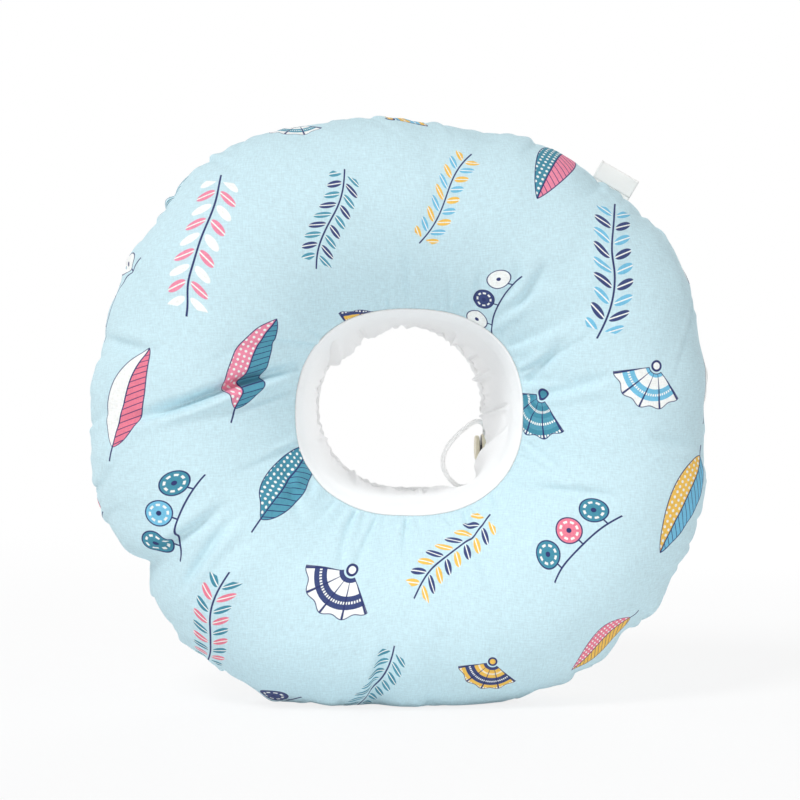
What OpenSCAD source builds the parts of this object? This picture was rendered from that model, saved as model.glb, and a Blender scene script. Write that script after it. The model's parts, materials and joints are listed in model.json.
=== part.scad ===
// Soft ring collar: a stuffed cotton ring that stands on its flattened lower edge, with a
// cotton neck sleeve behind it that a drawcord and a round cord lock draw in.
// X runs across the ring, Y from its front face to the sleeve, Z up. The origin is the middle
// of the flat that the ring stands on, straight below the neck opening's axis.

/* [Ring] */
// Width of the ring across the rim
ring_w = 360; // [330:5:400]
// Height of the ring as it stands
ring_h = 340; // [320:5:370]
// Thickness of the stuffed ring, front to back
ring_t = 96; // [80:2:110]
// How square the rim's outline is, where 2 is an ellipse
ring_square = 2.4; // [2:0.1:3]
// How far the rim's outline lies to the left of the neck opening's axis
ring_lean = 5; // [0:1:10]
// How deep the lower edge is pressed flat
floor_press = 6; // [3:1:10]
// Height of the neck opening's axis above the flat
axis_z = 170; // [160:2:180]

/* [Neck wall] */
// Width of the neck opening at the front seam
neck_w = 130; // [120:2:140]
// Height of the neck opening at the front seam
neck_h = 118; // [110:2:130]
// How square the neck opening is, where 2 is an ellipse
neck_square = 2.3; // [2:0.1:2.6]
// How far the stuffed wall bulges in past the front seam
neck_lip = 5.4; // [4:0.2:7]

/* [Sleeve and hem] */
// Bore of the drawn hem, which is the size of the neck that it closes on
hem_bore = 100; // [96:1:104]
// Distance from the ring's mid-plane to the middle of the hem
hem_y = 90; // [84:1:100]
// Thickness of the hem's folded cloth
hem_wall = 1.2; // [0.8:0.1:1.6]
// Slack round the cord in the hem's channel
channel_slack = 0.8; // [0.6:0.1:1.2]
// Radius of the rounded corner that the mouth takes beside the cord lock
corner_r = 12.5; // [10:0.5:12.5]
// Length of straight hem that ends above the cord lock
upper_end = 4; // [2:0.5:5]
// Length of straight hem that ends below the cord lock
lower_end = 26; // [20:1:30]
// How far the sleeve is drawn in between the ring and its mouth
sleeve_waist = 2; // [1.5:0.1:3]
// How far the sleeve's edge steps back from the hem beside the cord lock
slit_depth = 7; // [6:0.5:12]

/* [Cloth and thread] */
// Thickness of the printed cotton with its backing
panel_t = 1.2; // [0.8:0.1:1.6]
// Thickness of the white sleeve cotton
sleeve_t = 0.8; // [0.6:0.1:1.2]
// Width of a sewn groove between two cloths
seam_gap = 1; // [0.9:0.1:1.4]
// Thickness of the sewing thread
thread_d = 0.5; // [0.3:0.1:0.5]
// Clearance between the filling and the cloth round it
fill_gap = 0.4; // [0.3:0.1:0.8]

/* [Drawcord and cord lock] */
// Thickness of the round elastic cord
cord_d = 3; // [2.4:0.2:3.2]
// Clearance of the cord in the lock and beside itself
cord_gap = 0.3; // [0.2:0.05:0.4]
// Diameter of the lock's body
lock_d = 17.5; // [16:0.5:18]
// Diameter of the lock's button
button_d = 15.5; // [15.5:0.5:16]
// Thickness of the button
button_t = 2.6; // [2.4:0.1:3]
// Thickness of the body's walls on both sides of the cord
lock_wall = 0.75; // [0.6:0.05:1.2]
// Open gap between the button and the body
button_gap = 1.3; // [1.2:0.1:1.6]
// How far the button is pressed in
button_travel = 1; // [0.6:0.1:1]
// Depth of the lock's middle below the neck opening's axis
lock_drop = 26; // [25:0.5:26.5]
// How far the lock slides down the two strands
lock_travel = 5; // [3:0.5:5]
// Thickness of the spring's wire
wire_d = 0.7; // [0.5:0.1:0.8]
// Turns of the spring
spring_turns = 2; // [1.5:0.5:2]

/* [Label] */
// Width of the folded label along the rim
label_w = 25; // [18:1:30]
// Length of label that stands out of the rim
label_out = 11; // [8:1:16]
// Thickness of one layer of label tape
label_t = 0.4; // [0.3:0.1:0.6]
// Place of the label round the neck axis, counter-clockwise from the right
label_angle = 47; // [40:1:60]

/* [Hidden] */

// Steps round the ring, and across a panel and the sleeve
ring_steps = 72;
panel_steps = 14;
wall_steps = 3;
tube_steps = 5;

// Section angles: 0 is the rim, 90 the front, 180 the innermost line, 270 the rear
rim_seam = -5;
front_seam = 155;
rear_seam = 190;

// Puckers where the rim is drawn in: place round the axis, depth and half-width in degrees
tucks = [[212, 10, 5], [265, 4, 4], [50, 6, 7], [162, 4, 5]];

// The rim's outline, an ellipse-like curve about its own centre
rim_half_w = ring_w / 2;
rim_half_h = (ring_h + floor_press) / 2;
rim_centre = [-ring_lean, ring_h - rim_half_h - axis_z];

// The drawn mouth: the cord's line, the hem round it and the two strands beside each other
bore_r = hem_bore / 2;
channel_w = cord_d + channel_slack;
line_r = bore_r + hem_wall + channel_w / 2;
hem_outer_r = bore_r + 2 * hem_wall + channel_w;
strand_step = cord_d + cord_gap;
strand_front = hem_y - strand_step / 2;
strand_rear = hem_y + strand_step / 2;
channel_half = (strand_step + cord_d + channel_slack) / 2;
hem_half = channel_half + hem_wall;
hem_chamfer = 0.75;
sleeve_end = hem_y - hem_half - seam_gap;

// The cord lock, whose slot is centred on the cord's line
slot_w = cord_d + cord_gap;
slot_half = (strand_step + cord_d + cord_gap) / 2 + 0.05;
body_t = slot_w + 2 * lock_wall;
body_x = line_r - body_t / 2;
button_x = body_x - button_gap - button_t;
lock_z = axis_z - lock_drop;
lock_chamfer = 0.6;
straight_top = lock_z + lock_d / 2 + 1.25;
straight_bottom = lock_z - lock_d / 2 - lock_travel - 1;
leg_t = 1.2;
leg_h = 4;
leg_gap = 0.2;
leg_y = button_d / 2 - leg_t - 0.65;
leg_reach = button_gap + body_t - button_travel - 0.9;
spring_r = 4.6;
pocket_gap = 0.35;
pocket_depth = button_t - 1.2;
spring_gap = 0.2;
thread_rise = 0.35;

// The cord's free tail from the upper strand's end round to the lower strand's end, as steps
// from the middle of the lock's slot
tail_steps = [[0, -1.65, 10], [0, -1.65, 11], [-0.6, -2.9, 13.8], [-3, -5, 16.2],
    [-6.6, -7.2, 16.6], [-10.6, -9, 14.6], [-14.8, -10, 11.4], [-19, -10.6, 7.6], [-23, -11, 3],
    [-26, -11.2, -2.4], [-27.2, -11.2, -8], [-26, -10.6, -13.6], [-22.8, -9, -18.8],
    [-18.6, -6.6, -22.6], [-14, -3.6, -24.2], [-9.6, -0.6, -23.6], [-5.4, 1.2, -21.6],
    [-2, 1.6, -18.8], [0, 1.65, -15.75], [0, 1.65, -14.75]];

// Round places and turns that the meshes share
function ring_angle(i) = (i + 0.5) * 360 / ring_steps;
function direction(phi) = [cos(phi), sin(phi)];
function place(flat, y) = [flat[0], y, axis_z + flat[1]];
function blend(a, b, share) = a + (b - a) * share;
function ease(s) = s * s * (3 - 2 * s);
function clip(s) = min(1, max(0, s));

// Distance from the centre of an ellipse-like curve to its line at an angle
function oval(half_w, half_h, power, phi) =
    pow(pow(abs(cos(phi)) / half_w, power) + pow(abs(sin(phi)) / half_h, power), -1 / power);

function turn_between(a, b) = let (d = abs(a - b) % 360) min(d, 360 - d);
function tuck_depth(phi, i = 0) =
    i == len(tucks) ? 0 : tucks[i][1] * exp(-pow(turn_between(phi, tucks[i][0]) / tucks[i][2], 2))
        + tuck_depth(phi, i + 1);

function wall_r(phi) = oval(neck_w / 2, neck_h / 2, neck_square, phi) - neck_lip;
function rim_r(phi) = oval(rim_half_w, rim_half_h, ring_square, phi) - tuck_depth(phi);

// A point of the stuffed ring's section at phi round the axis and theta round the section, a
// given depth under its surface, and never lower than that depth over the floor
function ring_point(phi, theta, depth) =
    let (inner = (wall_r(phi) + depth) * direction(phi),
        outer = rim_centre + (rim_r(phi) - depth) * direction(phi),
        flat = blend(inner, outer, (1 + cos(theta)) / 2))
    [flat[0], -(ring_t / 2 - depth) * sin(theta), max(depth, axis_z + flat[1])];

// Degrees of section angle that a length takes on the ring's side
function section_turn(length) = length / (ring_t / 2) * 180 / PI;
half_seam = section_turn(seam_gap / 2);

// The mouth's outline: a circle, squared towards the lower right where the lock bridges it
function mouth_r(phi) =
    let (below = 360 - (phi % 360), corner = line_r - corner_r, square = cos(below) + sin(below))
    below > 90 ? line_r
        : tan(below) <= corner / line_r ? line_r / cos(below)
        : tan(below) >= line_r / corner ? line_r / sin(below)
        : corner * square + sqrt(pow(corner_r, 2) - pow(corner, 2) * (2 - pow(square, 2)));

// How far the sleeve's edge steps back at an angle, in full beside the lock
function slit(phi) =
    let (below = 360 - (phi % 360))
    below > 90 ? 0 : slit_depth * ease(clip((below - 3) / 6)) * ease(clip((64 - below) / 16));

// The tube part of the sleeve, from the innermost line at s = 0 to its edge at s = 1
function tube_y(phi, s) = s * (sleeve_end - slit(phi));
function tube_r(phi, y) =
    let (s = clip(y / sleeve_end), spread = mouth_r(phi) - sleeve_t / 2 - wall_r(phi))
    wall_r(phi) + spread * (spread > 0 ? s * s : s) - sleeve_waist * sin(180 * s);
function tube_point(phi, s, depth) =
    place((tube_r(phi, tube_y(phi, s)) + depth) * direction(phi), tube_y(phi, s));

// The whole sleeve: the neck wall from the front seam, then the tube
function sleeve_point(phi, j, depth) =
    let (start = front_seam + half_seam)
    j < wall_steps ? ring_point(phi, blend(start, 180, j / wall_steps), depth)
        : tube_point(phi, (j - wall_steps) / tube_steps, depth);

// A closed cloth: two grids of rows x columns points, outside and inside, closed round the ring
module cloth(outside, inside) {
    columns = len(outside[0]);
    rows = len(outside);
    count = rows * columns;
    last = columns - 1;
    points = [for (row = concat(outside, inside)) for (p = row) p];
    function at(side, i, j) = side * count + (i % rows) * columns + j;
    function quad(a, b, c, d) = [[a, b, c], [a, c, d]];
    faces = [for (i = [0 : rows - 1]) each concat(
        [for (j = [0 : last - 1]) each
            quad(at(0, i, j), at(0, i, j + 1), at(0, i + 1, j + 1), at(0, i + 1, j))],
        [for (j = [0 : last - 1]) each
            quad(at(1, i, j), at(1, i + 1, j), at(1, i + 1, j + 1), at(1, i, j + 1))],
        quad(at(0, i, 0), at(0, i + 1, 0), at(1, i + 1, 0), at(1, i, 0)),
        quad(at(0, i, last), at(1, i, last), at(1, i + 1, last), at(0, i + 1, last)))];
    polyhedron(points, faces);
}

// Section angles of the two panels' columns, which the filling's columns share
function columns_between(a, b) = [for (j = [0 : panel_steps]) blend(a, b, j / panel_steps)];
front_columns = columns_between(rim_seam + half_seam, front_seam - half_seam);
rear_columns = columns_between(rear_seam, 360 + rim_seam - half_seam);

module panel(columns) {
    cloth(
        [for (i = [0 : ring_steps - 1]) [for (theta = columns) ring_point(ring_angle(i), theta, 0)]],
        [for (i = [0 : ring_steps - 1]) [for (theta = columns) ring_point(ring_angle(i), theta, panel_t)]]);
}

// Frames and tubes for cords and threads that follow a list of points
function unit(v) = v / norm(v);
function along(path, i, closed) =
    let (n = len(path))
    closed ? unit(path[(i + 1) % n] - path[(i + n - 1) % n])
        : unit(path[min(i + 1, n - 1)] - path[max(i - 1, 0)]);
function steady(v, t) = unit(v - (v * t) * t);
function sides_of(path, closed, i = 0, v = [0.1, 1, 0.05]) =
    i == len(path) ? [] : let (w = steady(v, along(path, i, closed)))
        concat([w], sides_of(path, closed, i + 1, w));

module tube(path, d, sides = 8, closed = false) {
    n = len(path);
    v = sides_of(path, closed);
    points = [for (i = [0 : n - 1]) let (w = cross(along(path, i, closed), v[i]))
        for (k = [0 : sides - 1]) let (a = k * 360 / sides) path[i] + d / 2 * (cos(a) * v[i] + sin(a) * w)];
    function at(i, k) = (i % n) * sides + k % sides;
    spans = closed ? n : n - 1;
    skin = [for (i = [0 : spans - 1]) for (k = [0 : sides - 1]) each
        [[at(i, k), at(i + 1, k), at(i + 1, k + 1)], [at(i, k), at(i + 1, k + 1), at(i, k + 1)]]];
    ends = closed ? [] : [[for (k = [0 : sides - 1]) k], [for (k = [sides - 1 : -1 : 0]) at(n - 1, k)]];
    polyhedron(points, concat(skin, ends));
}

// The line of the ring's cord: up the front strand's straight, round the corner below, along
// the lower edge, round the circle and down the rear strand's straight
circle_steps = 46;
corner_steps = 7;
drawcord_line = concat(
    [for (z = [straight_top, lock_z, axis_z - line_r + corner_r]) [line_r, strand_front, z]],
    [for (i = [1 : corner_steps])
        place((line_r - corner_r) * [1, -1] + corner_r * direction(-90 * i / corner_steps), strand_front)],
    [for (i = [1 : 3]) place([(line_r - corner_r) * (1 - i / 3), -line_r], strand_front)],
    [for (i = [1 : circle_steps]) let (s = i / circle_steps)
        place(line_r * direction(-90 - 270 * s), blend(strand_front, strand_rear, ease(s)))],
    [for (z = [axis_z - 2 * upper_end, lock_z, straight_bottom]) [line_r, strand_rear, z]]);

tail_line = [for (p = tail_steps) p + [line_r, hem_y, lock_z]];

// The hem's section, radius across and depth up, as a folded band with the cord's channel in it
module hem_section() {
    difference() {
        polygon([[bore_r, -hem_half + hem_chamfer], [bore_r + hem_chamfer, -hem_half],
            [hem_outer_r - hem_chamfer, -hem_half], [hem_outer_r, -hem_half + hem_chamfer],
            [hem_outer_r, hem_half - hem_chamfer], [hem_outer_r - hem_chamfer, hem_half],
            [bore_r + hem_chamfer, hem_half], [bore_r, hem_half - hem_chamfer]]);
        translate([bore_r + hem_wall, -channel_half]) square([channel_w, 2 * channel_half]);
    }
}

// Turns a shape drawn round Z so that it stands round the neck opening's axis
module on_neck_axis(y) {
    translate([0, y, axis_z]) rotate([90, 0, 0]) children();
}

// A disc round X with both edges bevelled
module disc(d, t, bevel) {
    rotate([0, 90, 0]) rotate_extrude($fn = 64)
        polygon([[0, 0], [d / 2 - bevel, 0], [d / 2, bevel], [d / 2, t - bevel], [d / 2 - bevel, t], [0, t]]);
}

module on_lock(x) {
    translate([x, hem_y, lock_z]) children();
}

module front_panel() {
    color("lightblue") panel(front_columns);
}

module rear_panel() {
    color("lightblue") panel(rear_columns);
}

module filling() {
    depth = panel_t + fill_gap;
    columns = concat(front_columns, [(front_seam + rear_seam) / 2], rear_columns);
    count = len(columns);
    points = [for (i = [0 : ring_steps - 1]) for (theta = columns) ring_point(ring_angle(i), theta, depth)];
    function at(i, j) = (i % ring_steps) * count + j % count;
    faces = [for (i = [0 : ring_steps - 1]) for (j = [0 : count - 1]) each
        [[at(i, j), at(i, j + 1), at(i + 1, j + 1)], [at(i, j), at(i + 1, j + 1), at(i + 1, j)]]];
    color("white") polyhedron(points, faces);
}

module neck_sleeve() {
    columns = wall_steps + tube_steps;
    color("whitesmoke") cloth(
        [for (i = [0 : ring_steps - 1])
            [for (j = [0 : columns]) sleeve_point(ring_angle(i), j, 0)]],
        [for (i = [0 : ring_steps - 1])
            [for (j = [0 : columns]) sleeve_point(ring_angle(i), j, sleeve_t)]]);
}

module sleeve_hem() {
    color("white") {
        on_neck_axis(hem_y) rotate_extrude(angle = 270, $fn = 96) hem_section();
        translate([0, hem_y, axis_z - upper_end]) linear_extrude(upper_end) hem_section();
        translate([0, hem_y, axis_z]) rotate([0, 90, 0]) linear_extrude(lower_end) hem_section();
    }
}

module drawcord() {
    color("ivory") tube(drawcord_line, cord_d);
}

module drawcord_tail() {
    color("ivory") tube(tail_line, cord_d);
}

module lock_body() {
    color("beige") difference() {
        on_lock(body_x) disc(lock_d, body_t, lock_chamfer);
        on_lock(line_r) cube([slot_w, 2 * slot_half, 2 * lock_d], center = true);
        for (side = [-1, 1])
            on_lock(body_x)
                translate([-1, side * (leg_y + leg_t / 2) - leg_t / 2 - leg_gap, -leg_h / 2 - leg_gap])
                cube([body_t + 1 - lock_wall + 0.15, leg_t + 2 * leg_gap, leg_h + 2 * leg_gap]);
    }
}

module lock_button() {
    color("beige") on_lock(button_x) {
        difference() {
            disc(button_d, button_t, lock_chamfer);
            translate([button_t - pocket_depth, 0, 0]) rotate([0, 90, 0]) difference() {
                cylinder(r = spring_r + wire_d / 2 + pocket_gap, h = button_t, $fn = 64);
                translate([0, 0, -1])
                    cylinder(r = spring_r - wire_d / 2 - pocket_gap, h = button_t + 2, $fn = 64);
            }
        }
        for (side = [-1, 1])
            translate([button_t - 0.4, side * (leg_y + leg_t / 2) - leg_t / 2, -leg_h / 2])
                cube([leg_reach + 0.4, leg_t, leg_h]);
    }
}

module lock_spring() {
    coil_steps = 24;
    from_x = button_x + button_t - pocket_depth + spring_gap + wire_d / 2;
    to_x = body_x - spring_gap - wire_d / 2;
    color("silver") tube([for (i = [0 : coil_steps * spring_turns])
        [blend(from_x, to_x, i / (coil_steps * spring_turns)),
            hem_y + spring_r * cos(i * 360 / coil_steps),
            lock_z + spring_r * sin(i * 360 / coil_steps)]], wire_d, sides = 6);
}

// The rim's mid-point and its outward direction at the label
function rim_flat(phi) = rim_centre + rim_r(phi) * direction(phi);
label_run = unit(rim_flat(label_angle + 3) - rim_flat(label_angle - 3));
label_out_angle = atan2(-label_run[0], label_run[1]);
label_seat = 1.15;

module label() {
    root = rim_flat(label_angle);
    color("white") translate([root[0], 0, axis_z + root[1]]) rotate([0, 90 - label_out_angle, 0])
        translate([0, -ring_t / 2 * sin(rim_seam), label_seat]) rotate([0, 0, 90])
            rotate([90, 0, 0]) linear_extrude(label_w, center = true) difference() {
                translate([-1.5 * label_t, 0]) square([3 * label_t, label_out]);
                translate([-0.5 * label_t, -1]) square([label_t, label_out + 1 - label_t]);
            }
}

function seam_line(theta, depth, first, last) =
    [for (i = [first : last]) ring_point(ring_angle(i), theta, depth)];

// Columns of the rim that the last hand-sewn stretch takes, at the lower right
closing_first = 57;
closing_last = 62;

module rim_thread() {
    color("lightblue")
        tube(seam_line(rim_seam, panel_t / 2, closing_last + 1, closing_first - 1 + ring_steps),
            thread_d, sides = 6);
}

module closing_stitches() {
    stitches = 5;
    sway = (seam_gap - thread_d) / 4;
    span = (closing_last - closing_first) * stitches;
    color("lightblue") tube([for (i = [0 : span]) let (turn = closing_first + i / stitches)
        ring_point(ring_angle(turn), rim_seam + section_turn(sway) * (i % 2 == 0 ? 1 : -1), panel_t / 2)],
        thread_d, sides = 6);
}

module front_neck_thread() {
    color("white") tube(seam_line(front_seam, sleeve_t / 2, 0, ring_steps - 1), thread_d, 6, true);
}

module rear_neck_thread() {
    color("white") tube(seam_line(rear_seam - section_turn(seam_gap), panel_t, 0, ring_steps - 1),
        thread_d, 6, true);
}

module hem_thread() {
    color("white") on_neck_axis(sleeve_end + seam_gap / 2) rotate_extrude(angle = 270, $fn = 96)
        translate([line_r, 0]) circle(d = thread_d, $fn = 16);
}

module sleeve_seam_thread() {
    color("white")
        tube([for (i = [2 : 14]) tube_point(ring_angle(0), i / 15, sleeve_t + thread_d / 2 + thread_rise)],
            thread_d, sides = 6);
}

module mouth_bartacks() {
    tack_y = hem_y + hem_half + thread_d / 2 + 0.2;
    tack_l = channel_w + hem_wall;
    color("white") {
        translate([line_r, tack_y, axis_z - upper_end / 2]) rotate([0, 90, 0])
            cylinder(d = thread_d, h = tack_l, center = true, $fn = 16);
        translate([lower_end - upper_end / 2, tack_y, axis_z - line_r])
            cylinder(d = thread_d, h = tack_l, center = true, $fn = 16);
    }
}

front_panel();
rear_panel();
filling();
neck_sleeve();
sleeve_hem();
drawcord();
drawcord_tail();
lock_body();
lock_button();
lock_spring();
label();
rim_thread();
closing_stitches();
front_neck_thread();
rear_neck_thread();
hem_thread();
sleeve_seam_thread();
mouth_bartacks();
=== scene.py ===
"""Soft ring collar: a stuffed ring of printed cotton with a gathered white neck sleeve.

The ring is one slack skin blown up by a cloth simulation, then creased where the stuffing has
shifted. The sleeve, its drawn hem, the cords, the cord lock, the label and every row of
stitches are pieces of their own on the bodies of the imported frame.
"""

import json
import logging
import math
from dataclasses import dataclass, field
from enum import Enum
from typing import Any, Callable

import bpy
import numpy as np
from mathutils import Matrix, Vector


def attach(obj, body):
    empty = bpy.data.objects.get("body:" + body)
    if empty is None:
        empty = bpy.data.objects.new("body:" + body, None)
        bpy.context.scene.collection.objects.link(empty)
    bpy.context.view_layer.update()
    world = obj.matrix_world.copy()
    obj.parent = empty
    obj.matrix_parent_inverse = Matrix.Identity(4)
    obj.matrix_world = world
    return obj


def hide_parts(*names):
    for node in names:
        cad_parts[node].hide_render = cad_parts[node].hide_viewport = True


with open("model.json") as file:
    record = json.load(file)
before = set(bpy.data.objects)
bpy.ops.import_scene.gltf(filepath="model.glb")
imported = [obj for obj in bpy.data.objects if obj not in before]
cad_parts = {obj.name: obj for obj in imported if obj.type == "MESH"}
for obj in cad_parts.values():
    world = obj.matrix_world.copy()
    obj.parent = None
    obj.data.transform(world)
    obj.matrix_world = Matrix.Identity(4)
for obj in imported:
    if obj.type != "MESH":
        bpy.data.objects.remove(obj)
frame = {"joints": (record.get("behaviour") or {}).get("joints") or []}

LOG = logging.getLogger("ring_collar")
Array = np.ndarray
Colour = tuple[float, float, float, float]
Place = tuple[float, float, float]
TURN = 2 * math.pi
MM = 0.001

# Places that several pieces share, in metres.
AXIS = 0.170  # height of the neck's axis
HEM_Y = 0.090  # the drawn hem's middle, behind the ring's
MOUTH = 0.0531  # from the axis to the cord's line in the hem
MOUTH_CORNER = 0.0125  # radius of that line's corner at the cord lock


class Panel(Enum):
    """The two cloth panels of the stuffed ring."""

    FRONT = "front_panel"
    REAR = "rear_panel"


# ---------------------------------------------------------------- plain maths on whole arrays


def mixed(a: Any, b: Any, share: Any) -> Any:
    """Returns a moved towards b by share."""
    return a + (b - a) * share


def eased(share: Any) -> Array:
    """Returns share clipped to 0 to 1 and rounded off at both ends: 3s^2 - 2s^3."""
    s = np.clip(share, 0, 1)
    return s * s * (3 - 2 * s)


def hump(distance: Any, width: float) -> Array:
    """Returns exp(-(distance / width)^2), a round hump of height 1."""
    return np.exp(-np.square(np.asarray(distance) / width))


def turned(angle: Any, middle: float) -> Array:
    """Returns angle - middle in degrees, from -180 to 180."""
    return (np.asarray(angle) - middle + 180) % 360 - 180


def unit(vectors: Array) -> Array:
    """Returns the vectors at length 1."""
    return vectors / (np.linalg.norm(vectors, axis=-1, keepdims=True) + 1e-12)


def rounded(points: Array, steps: int) -> Array:
    """Carries a smooth line through points, as cubic pieces with the mean slope at each point.

    Args:
        points: the points to pass, one a row.
        steps: pieces to cut each span into.

    Returns:
        The line's points, both ends included.
    """
    padded = np.vstack([2 * points[0] - points[1], points, 2 * points[-1] - points[-2]])
    a, b, c, d = padded[:-3, None], padded[1:-2, None], padded[2:-1, None], padded[3:, None]
    s = (np.arange(steps) / steps)[None, :, None]
    curve = 0.5 * (2 * b + (c - a) * s + (2 * a - 5 * b + 4 * c - d) * s**2
                   + (3 * b - a - 3 * c + d) * s**3)
    return np.vstack([curve.reshape(-1, points.shape[1]), points[-1:]])


def along(points: Array, spacing: float) -> tuple[Array, Array]:
    """Finds places a fixed spacing apart on a line.

    Args:
        points: the line's points.
        spacing: the distance from one place to the next.

    Returns:
        The places, and the line's unit direction at each.
    """
    steps = np.linalg.norm(np.diff(points, axis=0), axis=1)
    run = np.concatenate([[0], np.cumsum(steps)])
    at = np.arange(spacing / 2, run[-1], spacing)
    places = np.stack([np.interp(at, run, points[:, k]) for k in range(3)], -1)
    ways = np.stack([np.interp(at, run, np.gradient(points[:, k], run)) for k in range(3)], -1)
    return places, unit(ways)


def finer(grid: Array, closed: bool, axis: int) -> Array:
    """Doubles a grid's resolution along one axis with the cubic mid-point (9, 9, -1, -1) / 16.

    Args:
        grid: points by column and row.
        closed: whether the axis closes on itself.
        axis: 0 for the columns, 1 for the rows.

    Returns:
        The finer grid.
    """
    g = np.moveaxis(grid, axis, 0)
    if closed:
        before, here, after, later = np.roll(g, 1, 0), g, np.roll(g, -1, 0), np.roll(g, -2, 0)
    else:
        long = np.concatenate([2 * g[:1] - g[1:2], g, 2 * g[-1:] - g[-2:-1]])
        before, here, after, later = long[:-3], long[1:-2], long[2:-1], long[3:]
    middle = (9 * (here + after) - before - later) / 16
    out = np.stack([here, middle], 1).reshape(-1, *g.shape[1:])
    return np.moveaxis(out if closed else np.concatenate([out, g[-1:]]), 0, axis)


def facing(grid: Array, closed: bool) -> Array:
    """Works out a grid's normals from the cross product of its two slopes.

    Args:
        grid: points by column and row.
        closed: whether the columns close on themselves.

    Returns:
        A unit normal for each point.
    """
    if closed:
        across = np.roll(grid, -1, 0) - np.roll(grid, 1, 0)
    else:
        across = np.gradient(grid, axis=0)
    return unit(np.cross(across, np.gradient(grid, axis=1)))


# ---------------------------------------------------------------- meshes


def mesh_piece(name: str, points: Array, faces: Array, uv: Array) -> Any:
    """Makes an object from points and faces of one corner count.

    Args:
        name: the piece's name.
        points: one point a row.
        faces: one face a row, as point numbers.
        uv: one pair for each face corner.

    Returns:
        The object, linked to the scene and smooth shaded.
    """
    mesh = bpy.data.meshes.new(name)
    starts = np.arange(0, faces.size, faces.shape[1], dtype=np.int32)
    mesh.vertices.add(len(points))
    mesh.vertices.foreach_set("co", np.ascontiguousarray(points, dtype=np.float32).ravel())
    mesh.loops.add(faces.size)
    mesh.loops.foreach_set("vertex_index", faces.astype(np.int32).ravel())
    mesh.polygons.add(len(faces))
    mesh.polygons.foreach_set("loop_start", starts)
    mesh.polygons.foreach_set("use_smooth", np.ones(len(faces), dtype=bool))
    mesh.uv_layers.new(name="cloth").data.foreach_set("uv", uv.astype(np.float32).ravel())
    mesh.update(calc_edges=True)
    piece = bpy.data.objects.new(name, mesh)
    bpy.context.scene.collection.objects.link(piece)
    return piece


def grid_piece(name: str, grid: Array, uv: Array | None, outward: Any,
               wraps: tuple[bool, bool]) -> Any:
    """Makes an object from a grid of points.

    Args:
        name: the piece's name.
        grid: points by column and row.
        uv: a pair for each point, with one more column or row where the grid closes on itself,
            or None for an empty map.
        outward: the way the faces are turned to look, one for each point or for all.
        wraps: whether the columns and the rows close on themselves.

    Returns:
        The object.
    """
    columns, rows = grid.shape[:2]
    if uv is None:
        uv = np.zeros((columns + wraps[0], rows + wraps[1], 2))
    i = np.arange(columns if wraps[0] else columns - 1)[:, None]
    j = np.arange(rows if wraps[1] else rows - 1)[None, :]
    corners = [(0, 0), (1, 0), (1, 1), (0, 1)]
    faces = np.stack([(i + a) % columns * rows + (j + b) % rows for a, b in corners], -1)
    places = np.stack([(i + a) * uv.shape[1] + (j + b) for a, b in corners], -1)
    faces, places = faces.reshape(-1, 4), places.reshape(-1, 4)
    points = grid.reshape(-1, 3)
    a, b, c, d = (points[faces[:, k]] for k in range(4))
    normal = np.cross(c - a, d - b)
    looks = np.broadcast_to(outward, grid.shape).reshape(-1, 3)
    if (normal * looks[faces[:, 0]]).sum() < 0:
        faces, places = faces[:, ::-1], places[:, ::-1]
    return mesh_piece(name, points, faces, uv.reshape(-1, 2)[places.ravel()])


def run_along(line: Array) -> Array:
    """Returns each point's distance along a line from its first point."""
    return np.concatenate([[0], np.cumsum(np.linalg.norm(np.diff(line, axis=0), axis=1))])


def tube_grid(line: Array, radius: float, sides: int) -> tuple[Array, Array, Array]:
    """Carries a circle along a line: point = line + r (cos a * side + sin a * up).

    The up direction starts square to the line and is carried along it without twisting.

    Args:
        line: the centre line's points.
        radius: the tube's radius.
        sides: corners of the circle.

    Returns:
        The grid of points, its UV pairs (turns round, metres along) and its outward directions.
    """
    way = unit(np.gradient(line, axis=0))
    up = np.empty_like(way)
    last = np.cross(way[0], [0.3, 0.2, 0.9])
    for k, w in enumerate(way):
        last = unit(last - w * (last @ w))
        up[k] = last
    side = np.cross(way, up)
    a = (np.arange(sides) * TURN / sides)[None, :, None]
    out = np.cos(a) * side[:, None] + np.sin(a) * up[:, None]
    u, v = np.meshgrid(np.arange(sides + 1) / sides, run_along(line))
    return line[:, None] + radius * out, np.stack([u, v], -1), out


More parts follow.
